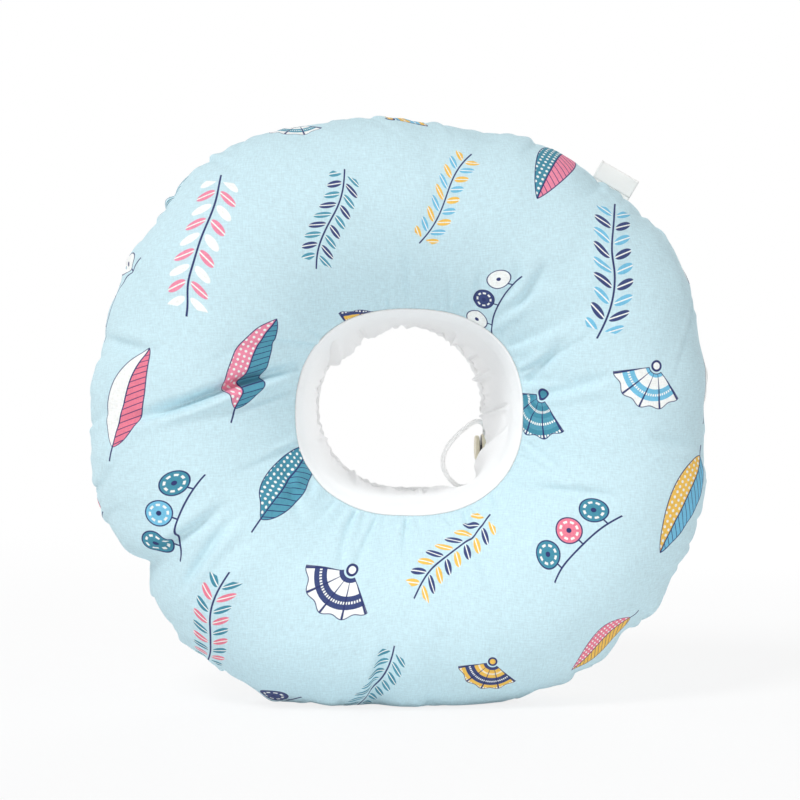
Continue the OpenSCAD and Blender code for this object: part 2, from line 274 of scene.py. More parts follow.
def stitch_piece(name: str, middles: Array, ways: Any, ups: Array, length: float,
                 radius: float) -> Any:
    """Makes a row of stitches, each a short thread that rises out of the cloth and dips back.

    A stitch is a six-sided tube on the line m + t L/2 w + (1.6 r (1 - t^2) - r) n for t from
    -1 to 1, and thins at both ends.

    Args:
        name: the piece's name.
        middles: a point for each stitch, on the cloth.
        ways: the direction that each stitch runs, or one for all.
        ups: the direction out of the cloth at each.
        length: a stitch's length.
        radius: the thread's radius.

    Returns:
        The object.
    """
    rings, sides = 7, 6
    t = np.linspace(-1, 1, rings)[None, :, None]
    ways = np.broadcast_to(ways, middles.shape)
    m, w, n = middles[:, None], unit(ways)[:, None], unit(ups)[:, None]
    centre = m + w * t * length / 2 + n * (1.6 * radius * (1 - t**2) - radius)
    a = (np.arange(sides) * TURN / sides)[None, None, :, None]
    side = np.cross(w, n)[:, :, None]
    thin = np.sqrt(np.maximum(1 - (t * 0.97) ** 4, 0))[:, :, None]
    points = centre[:, :, None] + radius * thin * (np.cos(a) * side + np.sin(a) * n[:, :, None])
    ring = np.arange(rings - 1)[:, None] * sides
    k = np.arange(sides)[None, :]
    after = (k + 1) % sides
    walls = [ring + k, ring + after, ring + sides + after, ring + sides + k]
    near_cap = [[0, 5, 4, 3], [0, 3, 2, 1]]
    far_cap = (rings - 1) * sides + np.array([[0, 1, 2, 3], [0, 3, 4, 5]])
    one = np.vstack([np.stack(walls, -1).reshape(-1, 4), near_cap, far_cap])
    starts = (np.arange(len(middles)) * rings * sides)[:, None, None]
    faces = (one[None] + starts).reshape(-1, 4)
    turn = np.broadcast_to(a / TURN, points.shape[:-1] + (1,))
    run = np.broadcast_to(t[..., None] * length / 2, points.shape[:-1] + (1,))
    uv = np.concatenate([turn, run], -1).reshape(-1, 2)
    return mesh_piece(name, points.reshape(-1, 3), faces, uv[faces.ravel()])


def thickened(piece: Any, thickness: float, offset: float = -1) -> None:
    """Gives a sheet its thickness with a Solidify modifier, inwards unless offset says more."""
    wall = piece.modifiers.new("cloth_thickness", "SOLIDIFY")
    wall.thickness, wall.offset, wall.use_even_offset = thickness, offset, False


def dressed(piece: Any, body: str, finish: "Finish", node: str | None = None) -> None:
    """Gives a piece its finish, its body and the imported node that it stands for.

    Args:
        piece: the object.
        body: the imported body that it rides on.
        finish: its finish, whose name is its slot's.
        node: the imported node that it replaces, or None.
    """
    piece.data.materials.clear()
    piece.data.materials.append(finish.material())
    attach(piece, body)
    if node:
        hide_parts(node)
    LOG.info("%s: %d faces on %s", piece.name, len(piece.data.polygons), body)


# ---------------------------------------------------------------- shader maths


def math_node(operation: str, swapped: bool = False) -> Callable[..., "Value"]:
    """Makes a method that adds one Math node.

    Args:
        operation: the node's operation.
        swapped: whether the value is the last term, as in 1 - mask.

    Returns:
        The method.
    """

    def method(self: "Value", *others: Any) -> "Value":
        """Adds the node on this value and the others."""
        terms = [*others, self] if swapped else [self, *others]
        return self.graph.node("ShaderNodeMath", {"operation": operation}, terms)

    return method


class Value:
    """A node's output that takes part in Python arithmetic; each operator adds a Math node."""

    def __init__(self, graph: "Graph", socket: Any) -> None:
        """Keeps the output and the graph that it belongs to."""
        self.graph, self.socket = graph, socket

    __add__ = __radd__ = math_node("ADD")
    __mul__ = __rmul__ = math_node("MULTIPLY")
    __sub__, __rsub__ = math_node("SUBTRACT"), math_node("SUBTRACT", swapped=True)
    __truediv__, __rtruediv__ = math_node("DIVIDE"), math_node("DIVIDE", swapped=True)
    __pow__ = math_node("POWER")
    size, floor, rest = math_node("ABSOLUTE"), math_node("FLOOR"), math_node("FRACT")
    root, sin, cos = math_node("SQRT"), math_node("SINE"), math_node("COSINE")
    least, most = math_node("MINIMUM"), math_node("MAXIMUM")
    above, bearing = math_node("GREATER_THAN"), math_node("ARCTAN2")

    def reach(self, other: Any) -> "Value":
        """Returns the length of the pair of this and another: sqrt(a^2 + b^2)."""
        return (self * self + other * other).root()

    def off_middle(self) -> "Value":
        """Returns the distance from the middle of the unit cell that this is in."""
        return (self.rest() - 0.5).size()

    def odd(self) -> "Value":
        """Is 1 in every other unit cell."""
        return (self.floor() * 0.5).rest().above(0.25)

    def step(self, low: float, high: float) -> "Value":
        """Eases this from 0 to 1 between two values, either of which may be the larger.

        Args:
            low: the value where it is 0.
            high: the value where it is 1.

        Returns:
            The eased share.
        """
        flip = high < low
        ends = [self, min(low, high), max(low, high), 1.0 if flip else 0.0, 0.0 if flip else 1.0]
        return self.graph.node("ShaderNodeMapRange", {"interpolation_type": "SMOOTHSTEP"}, ends)


class Graph:
    """The nodes of one material or world."""

    def __init__(self, owner: Any) -> None:
        """Turns the owner's nodes on and finds its shader.

        Args:
            owner: a material or the world.
        """
        owner.use_nodes = True
        self.nodes, self.links = owner.node_tree.nodes, owner.node_tree.links
        self.shader = self.nodes.get("Principled BSDF") or self.nodes["Background"]

    def node(self, kind: str, settings: dict[str, Any], inputs: Any = (), output: Any = 0) -> Value:
        """Adds any node.

        Args:
            kind: the node's type.
            settings: what is set first; "stops" holds a ramp's (position, colour) pairs.
            inputs: values or links by place, or a dictionary by socket name or number.
            output: the output to give back, by place or name.

        Returns:
            That output.
        """
        made = self.nodes.new(kind)
        for key, value in settings.items():
            if key == "stops":
                made.color_ramp.interpolation = "CONSTANT"
                stops = made.color_ramp.elements
                while len(stops) < len(value):
                    stops.new(1.0)
                for stop, (position, colour) in zip(stops, value):
                    stop.position, stop.color = position, colour
            else:
                setattr(made, key, value)
        pairs = inputs.items() if isinstance(inputs, dict) else enumerate(inputs)
        for key, value in pairs:
            self.feed(made.inputs[key], value)
        return Value(self, made.outputs[output])

    def feed(self, socket: Any, value: Any) -> None:
        """Links a Value to a socket, or sets the socket to a constant.

        Args:
            socket: the input.
            value: a Value, a constant, or None to leave the input alone.
        """
        if isinstance(value, Value):
            self.links.new(value.socket, socket)
        elif value is not None:
            socket.default_value = value

    def paint(self, **sockets: Any) -> None:
        """Feeds the shader's sockets, with _ for a space in their names."""
        for name, value in sockets.items():
            self.feed(self.shader.inputs[name.replace("_", " ")], value)

    def split(self, vector: Value) -> list[Value]:
        """Splits a vector.

        Args:
            vector: the vector.

        Returns:
            Its three parts.
        """
        made = self.nodes.new("ShaderNodeSeparateXYZ")
        self.links.new(vector.socket, made.inputs[0])
        return [Value(self, out) for out in made.outputs]

    def join(self, x: Any, y: Any, z: Any = 0.0) -> Value:
        """Returns a vector of three parts."""
        return self.node("ShaderNodeCombineXYZ", {}, [x, y, z])

    def cloth_place(self, scale: float = 1.0) -> tuple[Value, Value]:
        """Returns the piece's own UV pair, at a scale: 1000 turns flat cloth to millimetres."""
        u, v, _ = self.split(self.node("ShaderNodeUVMap", {"uv_map": "cloth"}))
        return u * scale, v * scale

    def place(self) -> Value:
        """Returns the place on the object in metres."""
        return self.node("ShaderNodeTexCoord", {}, output="Object")

    def noise(self, vector: Value, scale: float, detail: float = 2.0, rough: float = 0.5) -> Value:
        """Returns cloudy noise from 0 to 1, about 0.5."""
        feeds = {"Vector": vector, "Scale": scale, "Detail": detail, "Roughness": rough}
        return self.node("ShaderNodeTexNoise", {}, feeds)

    def tint(self, share: Any, a: Any, b: Any) -> Value:
        """Mixes colour a towards colour b by share."""
        return self.node("ShaderNodeMix", {"data_type": "RGBA"}, {0: share, 6: a, 7: b}, 2)

    def shade(self, colour: Any, amount: Value) -> Value:
        """Multiplies a colour by a number."""
        plain = colour if isinstance(colour, Value) else colour[:3]
        return self.node("ShaderNodeVectorMath", {"operation": "SCALE"}, {0: plain, 3: amount})

    def relief(self, height: Value, depth: float, strength: float = 1.0,
               under: Value | None = None) -> Value:
        """Turns a height from 0 to 1 into a normal, depth metres deep."""
        feeds = {"Height": height, "Distance": depth, "Strength": strength, "Normal": under}
        return self.node("ShaderNodeBump", {}, feeds)

    def in_sight(self) -> Value:
        """Parts what is seen from what gives light.

        Returns:
            1 for what the camera sees, also in a gloss or through glass, and 0 for light.
        """
        rays = self.nodes.new("ShaderNodeLightPath").outputs
        camera, gloss, through = (
            Value(self, rays[f"Is {ray} Ray"]) for ray in ("Camera", "Glossy", "Transmission"))
        return camera.most(gloss).most(through)

    def cover(self, share: Value, over: Value) -> None:
        """Lays another shader over the main one, and feeds both to the output.

        Args:
            share: how much of the other shader shows.
            over: the other shader.
        """
        plain = Value(self, self.shader.outputs[0])
        both = self.node("ShaderNodeMixShader", {}, [share, plain, over])
        output = next(node for node in self.nodes if "Surface" in node.inputs)
        self.links.new(both.socket, output.inputs["Surface"])


def srgb(red: int, green: int, blue: int) -> Colour:
    """Turns an eight-bit screen colour into a linear one.

    Args:
        red: red, from 0 to 255.
        green: green, likewise.
        blue: blue, likewise.

    Returns:
        The linear colour, opaque.
    """
    parts = [c / 255 for c in (red, green, blue)]
    r, g, b = (c / 12.92 if c <= 0.04045 else ((c + 0.055) / 1.055) ** 2.4 for c in parts)
    return r, g, b, 1.0


# ---------------------------------------------------------------- finishes

PALE_INK: Colour = (0.92, 0.93, 0.9, 1)


@dataclass(frozen=True)
class Finish:
    """A surface finish; a material of its name is made once and shared."""

    name: str
    colour: Colour
    roughness: float = 0.85

    def material(self) -> Any:
        """Makes the material the first time that it is asked for.

        Returns:
            The material.
        """
        name = f"{self.name}_finish"
        if name not in bpy.data.materials:
            graph = Graph(bpy.data.materials.new(name))
            graph.paint(Base_Color=self.colour, Roughness=self.roughness)
            self.work(graph)
        return bpy.data.materials[name]

    def work(self, graph: Graph) -> None:
        """Adds the finish's own detail."""


@dataclass(frozen=True)
class Cotton(Finish):
    """Plain woven cotton with slubs, a fine crumple and a soft sheen.

    Attributes:
        thread: the weave's pitch in millimetres.
        slub: how much the thick threads darken or lighten the colour.
        crumple: the depth of the soft crumple in metres.
    """

    thread: float = 0.42
    slub: float = 0.3
    crumple: float = 0.001

    def ground(self, graph: Graph, u: Value, v: Value) -> Any:
        """Returns the cloth's colour before the slubs."""
        return self.colour

    def work(self, graph: Graph) -> None:
        """Weaves the cloth: threads cross over and under, with slubs along both ways.

        Slubs are noise drawn out along the thread, the weave is sin u sin v, and the crumple is
        noise of 9 mm folds on a sway of 30 mm.

        Args:
            graph: the material's nodes.
        """
        u, v = graph.cloth_place(1000.0)
        fine, long = 1.2, 0.22
        warp = graph.noise(graph.join(u * fine, v * long), 1.0, 2.0, 0.7)
        weft = graph.noise(graph.join(u * long, v * fine, 7.0), 1.0, 2.0, 0.7)
        cloud = graph.noise(graph.join(u, v), 0.035, 3.0)
        shade = (warp + weft - 1.0) * self.slub + (cloud - 0.5) * 0.04 + 1.0
        graph.paint(Base_Color=graph.shade(self.ground(graph, u, v), shade))
        turns = math.pi / self.thread
        weave = (u * turns).sin() * (v * turns).sin() * 0.5 + 0.5
        threads = graph.relief(weave + (warp + weft) * 0.8, 0.0002, 0.5)
        folds = graph.noise(graph.join(u, v), 0.11, 3.0, 0.55)
        sway = graph.noise(graph.join(u, v, 3.0), 0.03, 2.0, 0.5)
        graph.paint(Normal=graph.relief(folds * 0.6 + sway * 2.2, self.crumple, 1.0, threads))
        graph.paint(Roughness=(warp - 0.5) * 0.12 + self.roughness)
        graph.paint(Sheen_Weight=0.05, Sheen_Roughness=0.45, Specular_IOR_Level=0.25)


@dataclass
class PrintCell:
    """A cell of the print's lattice, in which one motif is drawn.

    Attributes:
        graph: the material's nodes.
        x: the place across in millimetres from the cell's middle, turned and sized with it.
        y: the place up.
        one: the cell's first ink.
        two: the cell's second ink.
        cloth: the cloth's colour with the inks that are laid on it.
        here: 1 in the cells that hold the motif.
    """

    graph: Graph
    x: Value
    y: Value
    one: Value
    two: Value
    cloth: Any
    here: Any = 1.0

    def lay(self, mask: Value, ink: Any) -> None:
        """Lays an ink on the cloth where the mask is 1."""
        self.cloth = self.graph.tint(mask * self.here, self.cloth, ink)


@dataclass(frozen=True)
class PrintedCotton(Cotton):
    """Cotton with a generic print of leaves, sprigs, fans and berries on a turned brick lattice.

    Attributes:
        cell: the lattice cell's width and height in millimetres.
        turn: the lattice's turn in degrees.
        seed: starts the cells' random numbers.
        shares: the random numbers between which a cell holds each motif in turn.
        line: the ink of outlines and stems.
        inks: the inks of the motifs.
    """

    cell: tuple[float, float] = (96.0, 52.0)
    turn: float = 62.0
    seed: float = 3.0
    shares: tuple[float, ...] = (0.0, 0.36, 0.58, 0.8, 1.01)
    line: Colour = srgb(50, 58, 108)
    inks: tuple[Colour, ...] = (
        srgb(240, 142, 168), srgb(244, 196, 92), srgb(70, 142, 164), srgb(120, 194, 226),
        srgb(236, 128, 150), srgb(62, 74, 122), srgb(248, 250, 248), srgb(86, 156, 178),
    )

    def chosen(self, graph: Graph, number: Value) -> Value:
        """Returns one of the inks by a number from 0 to 1."""
        stops = [(k / len(self.inks), ink) for k, ink in enumerate(self.inks)]
        return graph.node("ShaderNodeValToRGB", {"stops": stops}, [number])

    def numbers(self, graph: Graph, column: Value, row: Value, seed: float) -> list[Value]:
        """Draws a cell's random numbers.

        Args:
            graph: the material's nodes.
            column: the cell's column.
            row: the cell's row.
            seed: starts the numbers.

        Returns:
            Three numbers from 0 to 1.
        """
        cell = graph.join(column, row, seed)
        noise = graph.node("ShaderNodeTexWhiteNoise", {"noise_dimensions": "3D"}, [cell], 1)
        return graph.split(noise)

    def ground(self, graph: Graph, u: Value, v: Value) -> Any:
        """Lays the print: each cell of the lattice turns, flips, sizes and inks its own motif.

        Args:
            graph: the material's nodes.
            u: the place across the flat cloth in millimetres.
            v: the place up it.

        Returns:
            The printed cloth's colour.
        """
        c, s = math.cos(math.radians(self.turn)), math.sin(math.radians(self.turn))
        wide, high = self.cell
        x, y = u * c + v * s + 400.0, v * c - u * s + 400.0
        row = (y / high).floor()
        x = x + row * (wide * 0.5)
        column = (x / wide).floor()
        x, y = x - (column + 0.5) * wide, y - (row + 0.5) * high
        kind, flip, size = self.numbers(graph, column, row, self.seed)
        tilt, one, two = self.numbers(graph, column, row, self.seed + 11.5)
        x = x * (flip.above(0.5) * 2.0 - 1.0)
        angle = (tilt - 0.5) * 0.55
        grow = 1.0 / (size * 0.38 + 0.68)
        c, s = angle.cos() * grow, angle.sin() * grow
        x, y = x * c + y * s, y * c - x * s
        cell = PrintCell(graph, x, y, self.chosen(graph, one), self.chosen(graph, two), self.colour)
        motifs = (self.leaf, self.sprig, self.fan, self.berries)
        for draw, low, high in zip(motifs, self.shares, self.shares[1:]):
            cell.here = kind.above(low) * (1.0 - kind.above(high))
            draw(cell)
        return cell.cloth

    def leaf(self, cell: PrintCell) -> None:
        """Draws a long leaf on a bent midrib, with a stem.

        Its half-width is 13 (1 - a^2)^0.75 (1 - 0.28 a), with a = x / 34. One half has dots 3.6
        apart and the other has veins 4.6 apart.

        Args:
            cell: the cell that it is drawn in.
        """
        x, tint = cell.x, cell.graph.tint
        a = x / 34.0
        y = cell.y + a * a * 3.0 - 1.4
        reach = y.size()
        edge = (1.0 - a * a).most(0.0) ** 0.75 * (13.0 - a * 3.6) - reach
        upper = y.above(0.0)
        dot = ((x / 3.6).rest() - 0.5).reach((y / 3.6).rest() - 0.5)
        veins = ((x - reach * 0.8) / 4.6).off_middle().step(0.4, 0.46)
        ink = tint(upper, cell.one, cell.two)
        ink = tint(dot.step(0.3, 0.2) * upper, ink, PALE_INK)
        line = (veins * (1.0 - upper)).most(reach.step(0.6, 0.3)).most(edge.step(1.1, 0.7))
        stem = (x + 43.0).step(0.0, 0.5) * (x + 33.0).step(0.5, 0.0) * reach.step(0.75, 0.4)
        cell.lay(edge.step(0.0, 0.4), tint(line, ink, self.line))
        cell.lay(stem, self.line)

    def sprig(self, cell: PrintCell) -> None:
        """Draws a waved stem, y = 3 sin(x / 14), with slanting pairs of oval leaves 8.6 apart.

        Args:
            cell: the cell that it is drawn in.
        """
        pitch, tint = 8.6, cell.graph.tint
        y = cell.y - (cell.x / 14.0).sin() * 3.0
        reach, far = y.size(), cell.x.size()
        run = (cell.x - reach * 0.62) / pitch
        oval = ((run.rest() - 0.5) * 3.0).reach((reach - 6.2) / 5.0)
        rib = (run.off_middle() * pitch).step(0.55, 0.3)
        ink = tint(rib, tint(run.odd(), cell.one, cell.two), PALE_INK)
        cell.lay(oval.step(1.0, 0.9) * far.step(36.4, 35.8), ink)
        cell.lay(reach.step(0.75, 0.4) * far.step(41.0, 40.5), self.line)

    def fan(self, cell: PrintCell) -> None:
        """Draws a scalloped fan: radius 5 to 29 + cos(12 t) about (-15, 0), |t| under 63 degrees.

        It has ribs 30 degrees apart, bands 8 wide with beads between them, and a knob.

        Args:
            cell: the cell that it is drawn in.
        """
        x, tint = cell.x + 15.0, cell.graph.tint
        far, t = x.reach(cell.y), cell.y.bearing(x)
        bands = far / 8.0
        edge = ((t * 12.0).cos() * 1.1 + 29.0 - far).least(far - 5.0).least((1.1 - t.size()) * far)
        ribs = (t * (6.0 / math.pi)).off_middle().step(0.43, 0.47)
        beads = (bands.off_middle() * 8.0).step(1.0, 0.6) * (t * 11.5).off_middle().step(0.34, 0.26)
        ink = tint(beads, tint(bands.odd(), cell.one, cell.two), PALE_INK)
        cell.lay(edge.step(0.0, 0.4), tint(ribs.most(edge.step(1.0, 0.6)), ink, self.line))
        cell.lay(far.step(4.2, 3.8), tint(far.step(2.6, 2.3), self.line, cell.two))

    def berries(self, cell: PrintCell) -> None:
        """Draws three ringed, seeded berries of radius 8.4, 20 apart on a low arched stalk.

        Args:
            cell: the cell that it is drawn in.
        """
        x, pitch, tint = cell.x, 20.0, cell.graph.tint
        across = (((x + 30.0) / pitch).rest() - 0.5) * pitch
        high = cell.y + x * x * 0.006 - 4.0
        far, t = across.reach(high), high.bearing(across)
        seeds = (t * (4.0 / math.pi)).off_middle().step(0.34, 0.24)
        seeds = seeds * (far - 5.2).size().step(0.9, 0.5)
        ring = (far - 7.9).size().step(0.6, 0.3).most(far.step(1.7, 1.4))
        twig = across.size().step(0.65, 0.35) * (high + 9.6).size().step(2.0, 1.7)
        stalk = (high + 11.5).size().step(0.7, 0.4).most(twig)
        ink = tint(((x + 30.0) / pitch).odd(), cell.one, cell.two)
        ink = tint(ring, tint(seeds, ink, PALE_INK), self.line)
        cell.here = cell.here * x.size().step(29.9, 29.6)
        cell.lay(stalk, self.line)
        cell.lay(far.step(8.4, 8.1), ink)


@dataclass(frozen=True)
class Stuffing(Finish):
    """Loose polyester filling: cloudy matted fibres."""

    def work(self, graph: Graph) -> None:
        """Mats the fibres with cloudy noise.

        Args:
            graph: the material's nodes.
        """
        place = graph.place()
        tufts = graph.noise(place, 90.0, 4.0, 0.7)
        # Painted shade: the fibres are up to 16 % darker where the tufts sink, in the hollows
        # between them.
        graph.paint(Base_Color=graph.shade(self.colour, tufts * 0.16 + 0.9))
        graph.paint(Normal=graph.relief(tufts, 0.002))


@dataclass(frozen=True)
class Braid(Finish):
    """Round braided elastic: strands cross in diamonds, and light soaks in a little.

    Attributes:
        strands: how many strands go round.
        lay: the braid's pitch along the cord in metres.
    """

    strands: int = 8
    lay: float = 0.0042

    def work(self, graph: Graph) -> None:
        """Crosses two sets of strands: height |sin(pi (n u / 2 + v / lay))| and its mirror.

        Args:
            graph: the material's nodes.
        """
        u, v = graph.cloth_place()
        around, run = u * (self.strands / 2), v / self.lay
        one, two = ((term * math.pi).sin().size() for term in (around + run, around - run))
        height = one.most(two)
        # Painted shade: the colour is up to 8 % darker in the grooves between the strands.
        graph.paint(Base_Color=graph.shade(self.colour, height * 0.08 + 0.93))
        graph.paint(Normal=graph.relief(height, 0.0003))
        graph.paint(Sheen_Weight=0.2, Sheen_Roughness=0.4)
        graph.paint(Subsurface_Weight=0.8, Subsurface_Radius=(1, 1, 1), Subsurface_Scale=0.004)


@dataclass(frozen=True)
class Thread(Finish):
    """Spun sewing thread: a fine twist along each stitch."""

    def work(self, graph: Graph) -> None:
        """Twists the plies with a slanting sine: two turns round, 1.7 a millimetre.

        Args:
            graph: the material's nodes.
        """
        u, v = graph.cloth_place()
        twist = ((u * 2.0 + v * 1700.0) * TURN).sin() * 0.5 + 0.5
        # Painted shade: the colour is up to 14 % darker in the grooves between the plies.
        graph.paint(Base_Color=graph.shade(self.colour, twist * 0.14 + 0.9), Sheen_Weight=0.15)
        graph.paint(Normal=graph.relief(twist, 0.00008))


@dataclass(frozen=True)
class MouldedPlastic(Finish):
    """Moulded plastic: a faint grain, slight clouding and near-black painted shade in the lock's
    gap.

    Attributes:
        gap_shade: where the painted shade in the gap begins and ends along x, in metres.
        gap_shade_colour: the painted shade's near-black colour.
    """

    # Painted shade: the faces between the lock's body and button are coloured near black, for the
    # gap's shade.
    gap_shade: tuple[float, float] = (0.0, 0.0)
    gap_shade_colour: Colour = srgb(38, 32, 34)

    def work(self, graph: Graph) -> None:
        """Grains the surface, varies its shine and paints near-black shade on the faces in the gap.

        Args:
            graph: the material's nodes.
        """
        place = graph.place()
        grain = graph.noise(place, 2600.0, 2.0)
        cloud = graph.noise(place, 160.0, 3.0) - 0.5
        across = graph.split(place)[0]
        # Painted shade: faces whose x lies in the gap are coloured near black, standing for the
        # gap's shade.
        gap_shade = across.above(self.gap_shade[0]) * (1.0 - across.above(self.gap_shade[1]))
        plain = graph.shade(self.colour, cloud * 0.1 + 1.0)
        graph.paint(Base_Color=graph.tint(gap_shade, plain, self.gap_shade_colour))
        graph.paint(Roughness=cloud * 0.25 + self.roughness, IOR=1.49)
        graph.paint(Normal=graph.relief(grain, 0.00004, 0.6))


@dataclass(frozen=True)
class DrawnSteel(Finish):
    """Bright drawn spring wire with fine die lines."""

    def work(self, graph: Graph) -> None:
        """Draws the die lines and varies the shine.

        Args:
            graph: the material's nodes.
        """
        place = graph.place()
        lines = graph.noise(place, 1500.0, 3.0)
        graph.paint(Metallic=1.0, Roughness=lines * 0.2 + self.roughness)
        graph.paint(Normal=graph.relief(lines, 0.00002, 0.5))


@dataclass(frozen=True)
class WovenTape(Finish):
    """Satin label tape: fine ribs both ways, with firmer woven edges.

    Attributes:
        width: the tape's width in millimetres.
    """

    width: float = 25.0

    def work(self, graph: Graph) -> None:
        """Ribs the tape by sin u sin v, 0.36 and 0.5 mm apart, and thickens both edges.

        Args:
            graph: the material's nodes.
        """
        u, v = graph.cloth_place(1000.0)
        ribs = (v * (TURN / 0.5)).sin() * (u * (TURN / 0.36)).sin() * 0.5 + 0.5
        edge = (u.size() - self.width / 2).step(-1.4, -1.0)
        # Painted shade: the colour is 5 % lighter on the ribs' crests than in their hollows; the
        # edges are 5 % darker.
        graph.paint(Base_Color=graph.shade(self.colour, ribs * 0.05 - edge * 0.05 + 0.96))
        graph.paint(Normal=graph.relief(ribs * 0.5 + edge, 0.00012))
        graph.paint(Sheen_Weight=0.25, Sheen_Roughness=0.3)


PRINT = PrintedCotton("printed_cotton", srgb(203, 230, 238), 0.86)
WHITE = Cotton("white_cotton", srgb(250, 250, 250), 0.88, slub=0.05)
FILL = Stuffing("fibre_fill", srgb(240, 240, 238), 0.95)
ELASTIC = Braid("elastic_cord", srgb(250, 250, 248), 0.8)
# The lock's plastic, with near-black painted shade on its faces in the gap.
PLASTIC = MouldedPlastic("lock_plastic", srgb(226, 217, 192), 0.36, gap_shade=(0.04935, 0.05075))
STEEL = DrawnSteel("spring_steel", (0.62, 0.62, 0.6, 1), 0.22)
AQUA_THREAD = Thread("aqua_thread", srgb(176, 214, 226), 0.7)
WHITE_THREAD = Thread("white_thread", srgb(244, 244, 244), 0.7)
TAPE = WovenTape("label_tape", srgb(246, 246, 243), 0.6)


# ---------------------------------------------------------------- rows of stitches


@dataclass(frozen=True)
class StitchRow:
    """A row of stitches in one thread on the collar; lengths are in metres.

    Attributes:
        piece: the piece's name.
        node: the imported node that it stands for.
        thread: the thread's finish.
        pitch: from one stitch to the next.
        length: a stitch's length.
        radius: the thread's radius.
        lift: how far the stitches stand off their line.
        lowest: the lowest place of a stitch's middle.
        slanted: whether the stitches cross the seam at a slant, as hand-sewn ones do.
    """

    piece: str
    node: str
    thread: Finish
    pitch: float
    length: float
    radius: float
    lift: float
    lowest: float = 0.0
    slanted: bool = False

    def sew(self, line: Array, out: Any) -> None:
        """Sews the row.

        Args:
            line: the seam's points.
            out: the direction out of the cloth at each point, or one for all.
        """
        at, way = along(line, self.pitch)
        at[:, 2] = np.maximum(at[:, 2], self.lowest)
        nearest = ((at[:, None] - line[None]) ** 2).sum(-1).argmin(1)
        up = np.broadcast_to(out, line.shape)[nearest]
        if self.slanted:
            way = unit(way * 0.45 + np.cross(up, way))
        at = at + up * self.lift
        row = stitch_piece(self.piece, at, way, up, self.length, self.radius)
        dressed(row, "collar", self.thread, self.node)


# ---------------------------------------------------------------- the stuffed ring


def folded(s: Array, width: Any, depth: Any, ridge: Any) -> Array:
    """Returns a sharp fold's height over the cloth at a signed distance s from its line.

    Height = r h(s - 2.1 w, 1.4 w) - d h(s, w') - 0.15 d e^(-|s| / 4 w), where h is a round hump
    and w' is 1.5 w before the line and 0.8 w behind it: the cloth rolls down into a narrow
    valley with a soft sink round it, and comes up steeply into a rounded ridge.

    Args:
        s: distance from the line, positive on the side that stands proud.
        width: the valley's half-width w.
        depth: the valley's depth d.
        ridge: the ridge's height r.
    """
    valley = hump(s, width * np.where(s < 0, 1.5, 0.8)) + 0.15 * np.exp(-np.abs(s) / (4 * width))
    return ridge * hump(s - 2.1 * width, 1.4 * width) - depth * valley


@dataclass(frozen=True)
class Crease:
    """One large fold in a panel.

    Attributes:
        line: points (x, z) in millimetres seen from the front, from its deep end to its faint end.
        depth: the valley's depth in millimetres.
        width: the valley's half-width in millimetres.
        ridge: the ridge's height, on the left of the line where it is positive.
    """

    line: tuple[tuple[float, float], ...]
    depth: float
    width: float
    ridge: float = 0.0

    def height(self, x: Array, z: Array) -> Array:
        """Works out the fold's height at points, faded in and out along its line.

        Args:
            x: places across, in millimetres.
            z: places up, in millimetres.

        Returns:
            Heights in millimetres, out of the cloth.
        """
        line = np.array(self.line, dtype=float)
        line = rounded(line, 5) if len(line) > 2 else line
        spans = np.diff(line, axis=0)
        lengths = np.linalg.norm(spans, axis=1)
        run = np.concatenate([[0], np.cumsum(lengths)]) / lengths.sum()
        near = np.full(x.shape, 1e9)
        side, share = np.zeros(x.shape), np.zeros(x.shape)
        for k, (start, span, length) in enumerate(zip(line[:-1], spans, lengths)):
            dx, dz = x - start[0], z - start[1]
            t = np.clip((dx * span[0] + dz * span[1]) / length**2, 0, 1)
            far = np.hypot(dx - t * span[0], dz - t * span[1])
            here = far < near
            near = np.where(here, far, near)
            side = np.where(here, np.sign(span[0] * dz - span[1] * dx), side)
            share = np.where(here, mixed(run[k], run[k + 1], t), share)
        fade = eased(share / 0.38 + 0.16) * eased((1 - share) / 0.5)
        away = side * near * (1 if self.ridge >= 0 else -1)
        return fade * folded(away, self.width * (1 + 0.5 * share), self.depth, abs(self.ridge))


@dataclass(frozen=True)
class Gathers:
    """Many small random folds that run out of a seam.

    Attributes:
        count: how many.
        reach: the longest, in millimetres.
        depth: the deepest, in millimetres.
        width: the widest valley's half-width, in millimetres.
        seed: starts the random draws.
    """

    count: int
    reach: float
    depth: float
    width: float
    seed: int

    def height(self, phi: Array, run: Array, radius: Array) -> Array:
        """Adds up the folds' heights, each along its own slanted line from the seam.

        Args:
            phi: places round the neck in degrees.
            run: distances from the seam in millimetres.
            radius: distances from the neck's axis in millimetres.

        Returns:
            Heights in millimetres, out of the cloth.
        """
        rng = np.random.default_rng(self.seed)
        total = np.zeros(np.broadcast(phi, run).shape)
        for k in range(self.count):
            middle = (k + rng.uniform(-0.45, 0.45)) * 360 / self.count
            lean, bend = rng.uniform(-0.2, 0.2), rng.uniform(-0.004, 0.004)
            reach = self.reach * rng.uniform(0.3, 1) ** 1.5
            deep = self.depth * rng.uniform(0.15, 1) ** 1.5
            wide = self.width * rng.uniform(0.55, 1)
            flip = rng.choice([-1.0, 1.0])
            line = middle + lean * run + bend * run**2
            s = np.radians(turned(phi, line)) * radius * flip
            fade = eased(run / 4) * np.exp(-((run / reach) ** 2))
            total += fade * folded(s, wide + run * 0.02, deep, deep * 0.6)
        return total


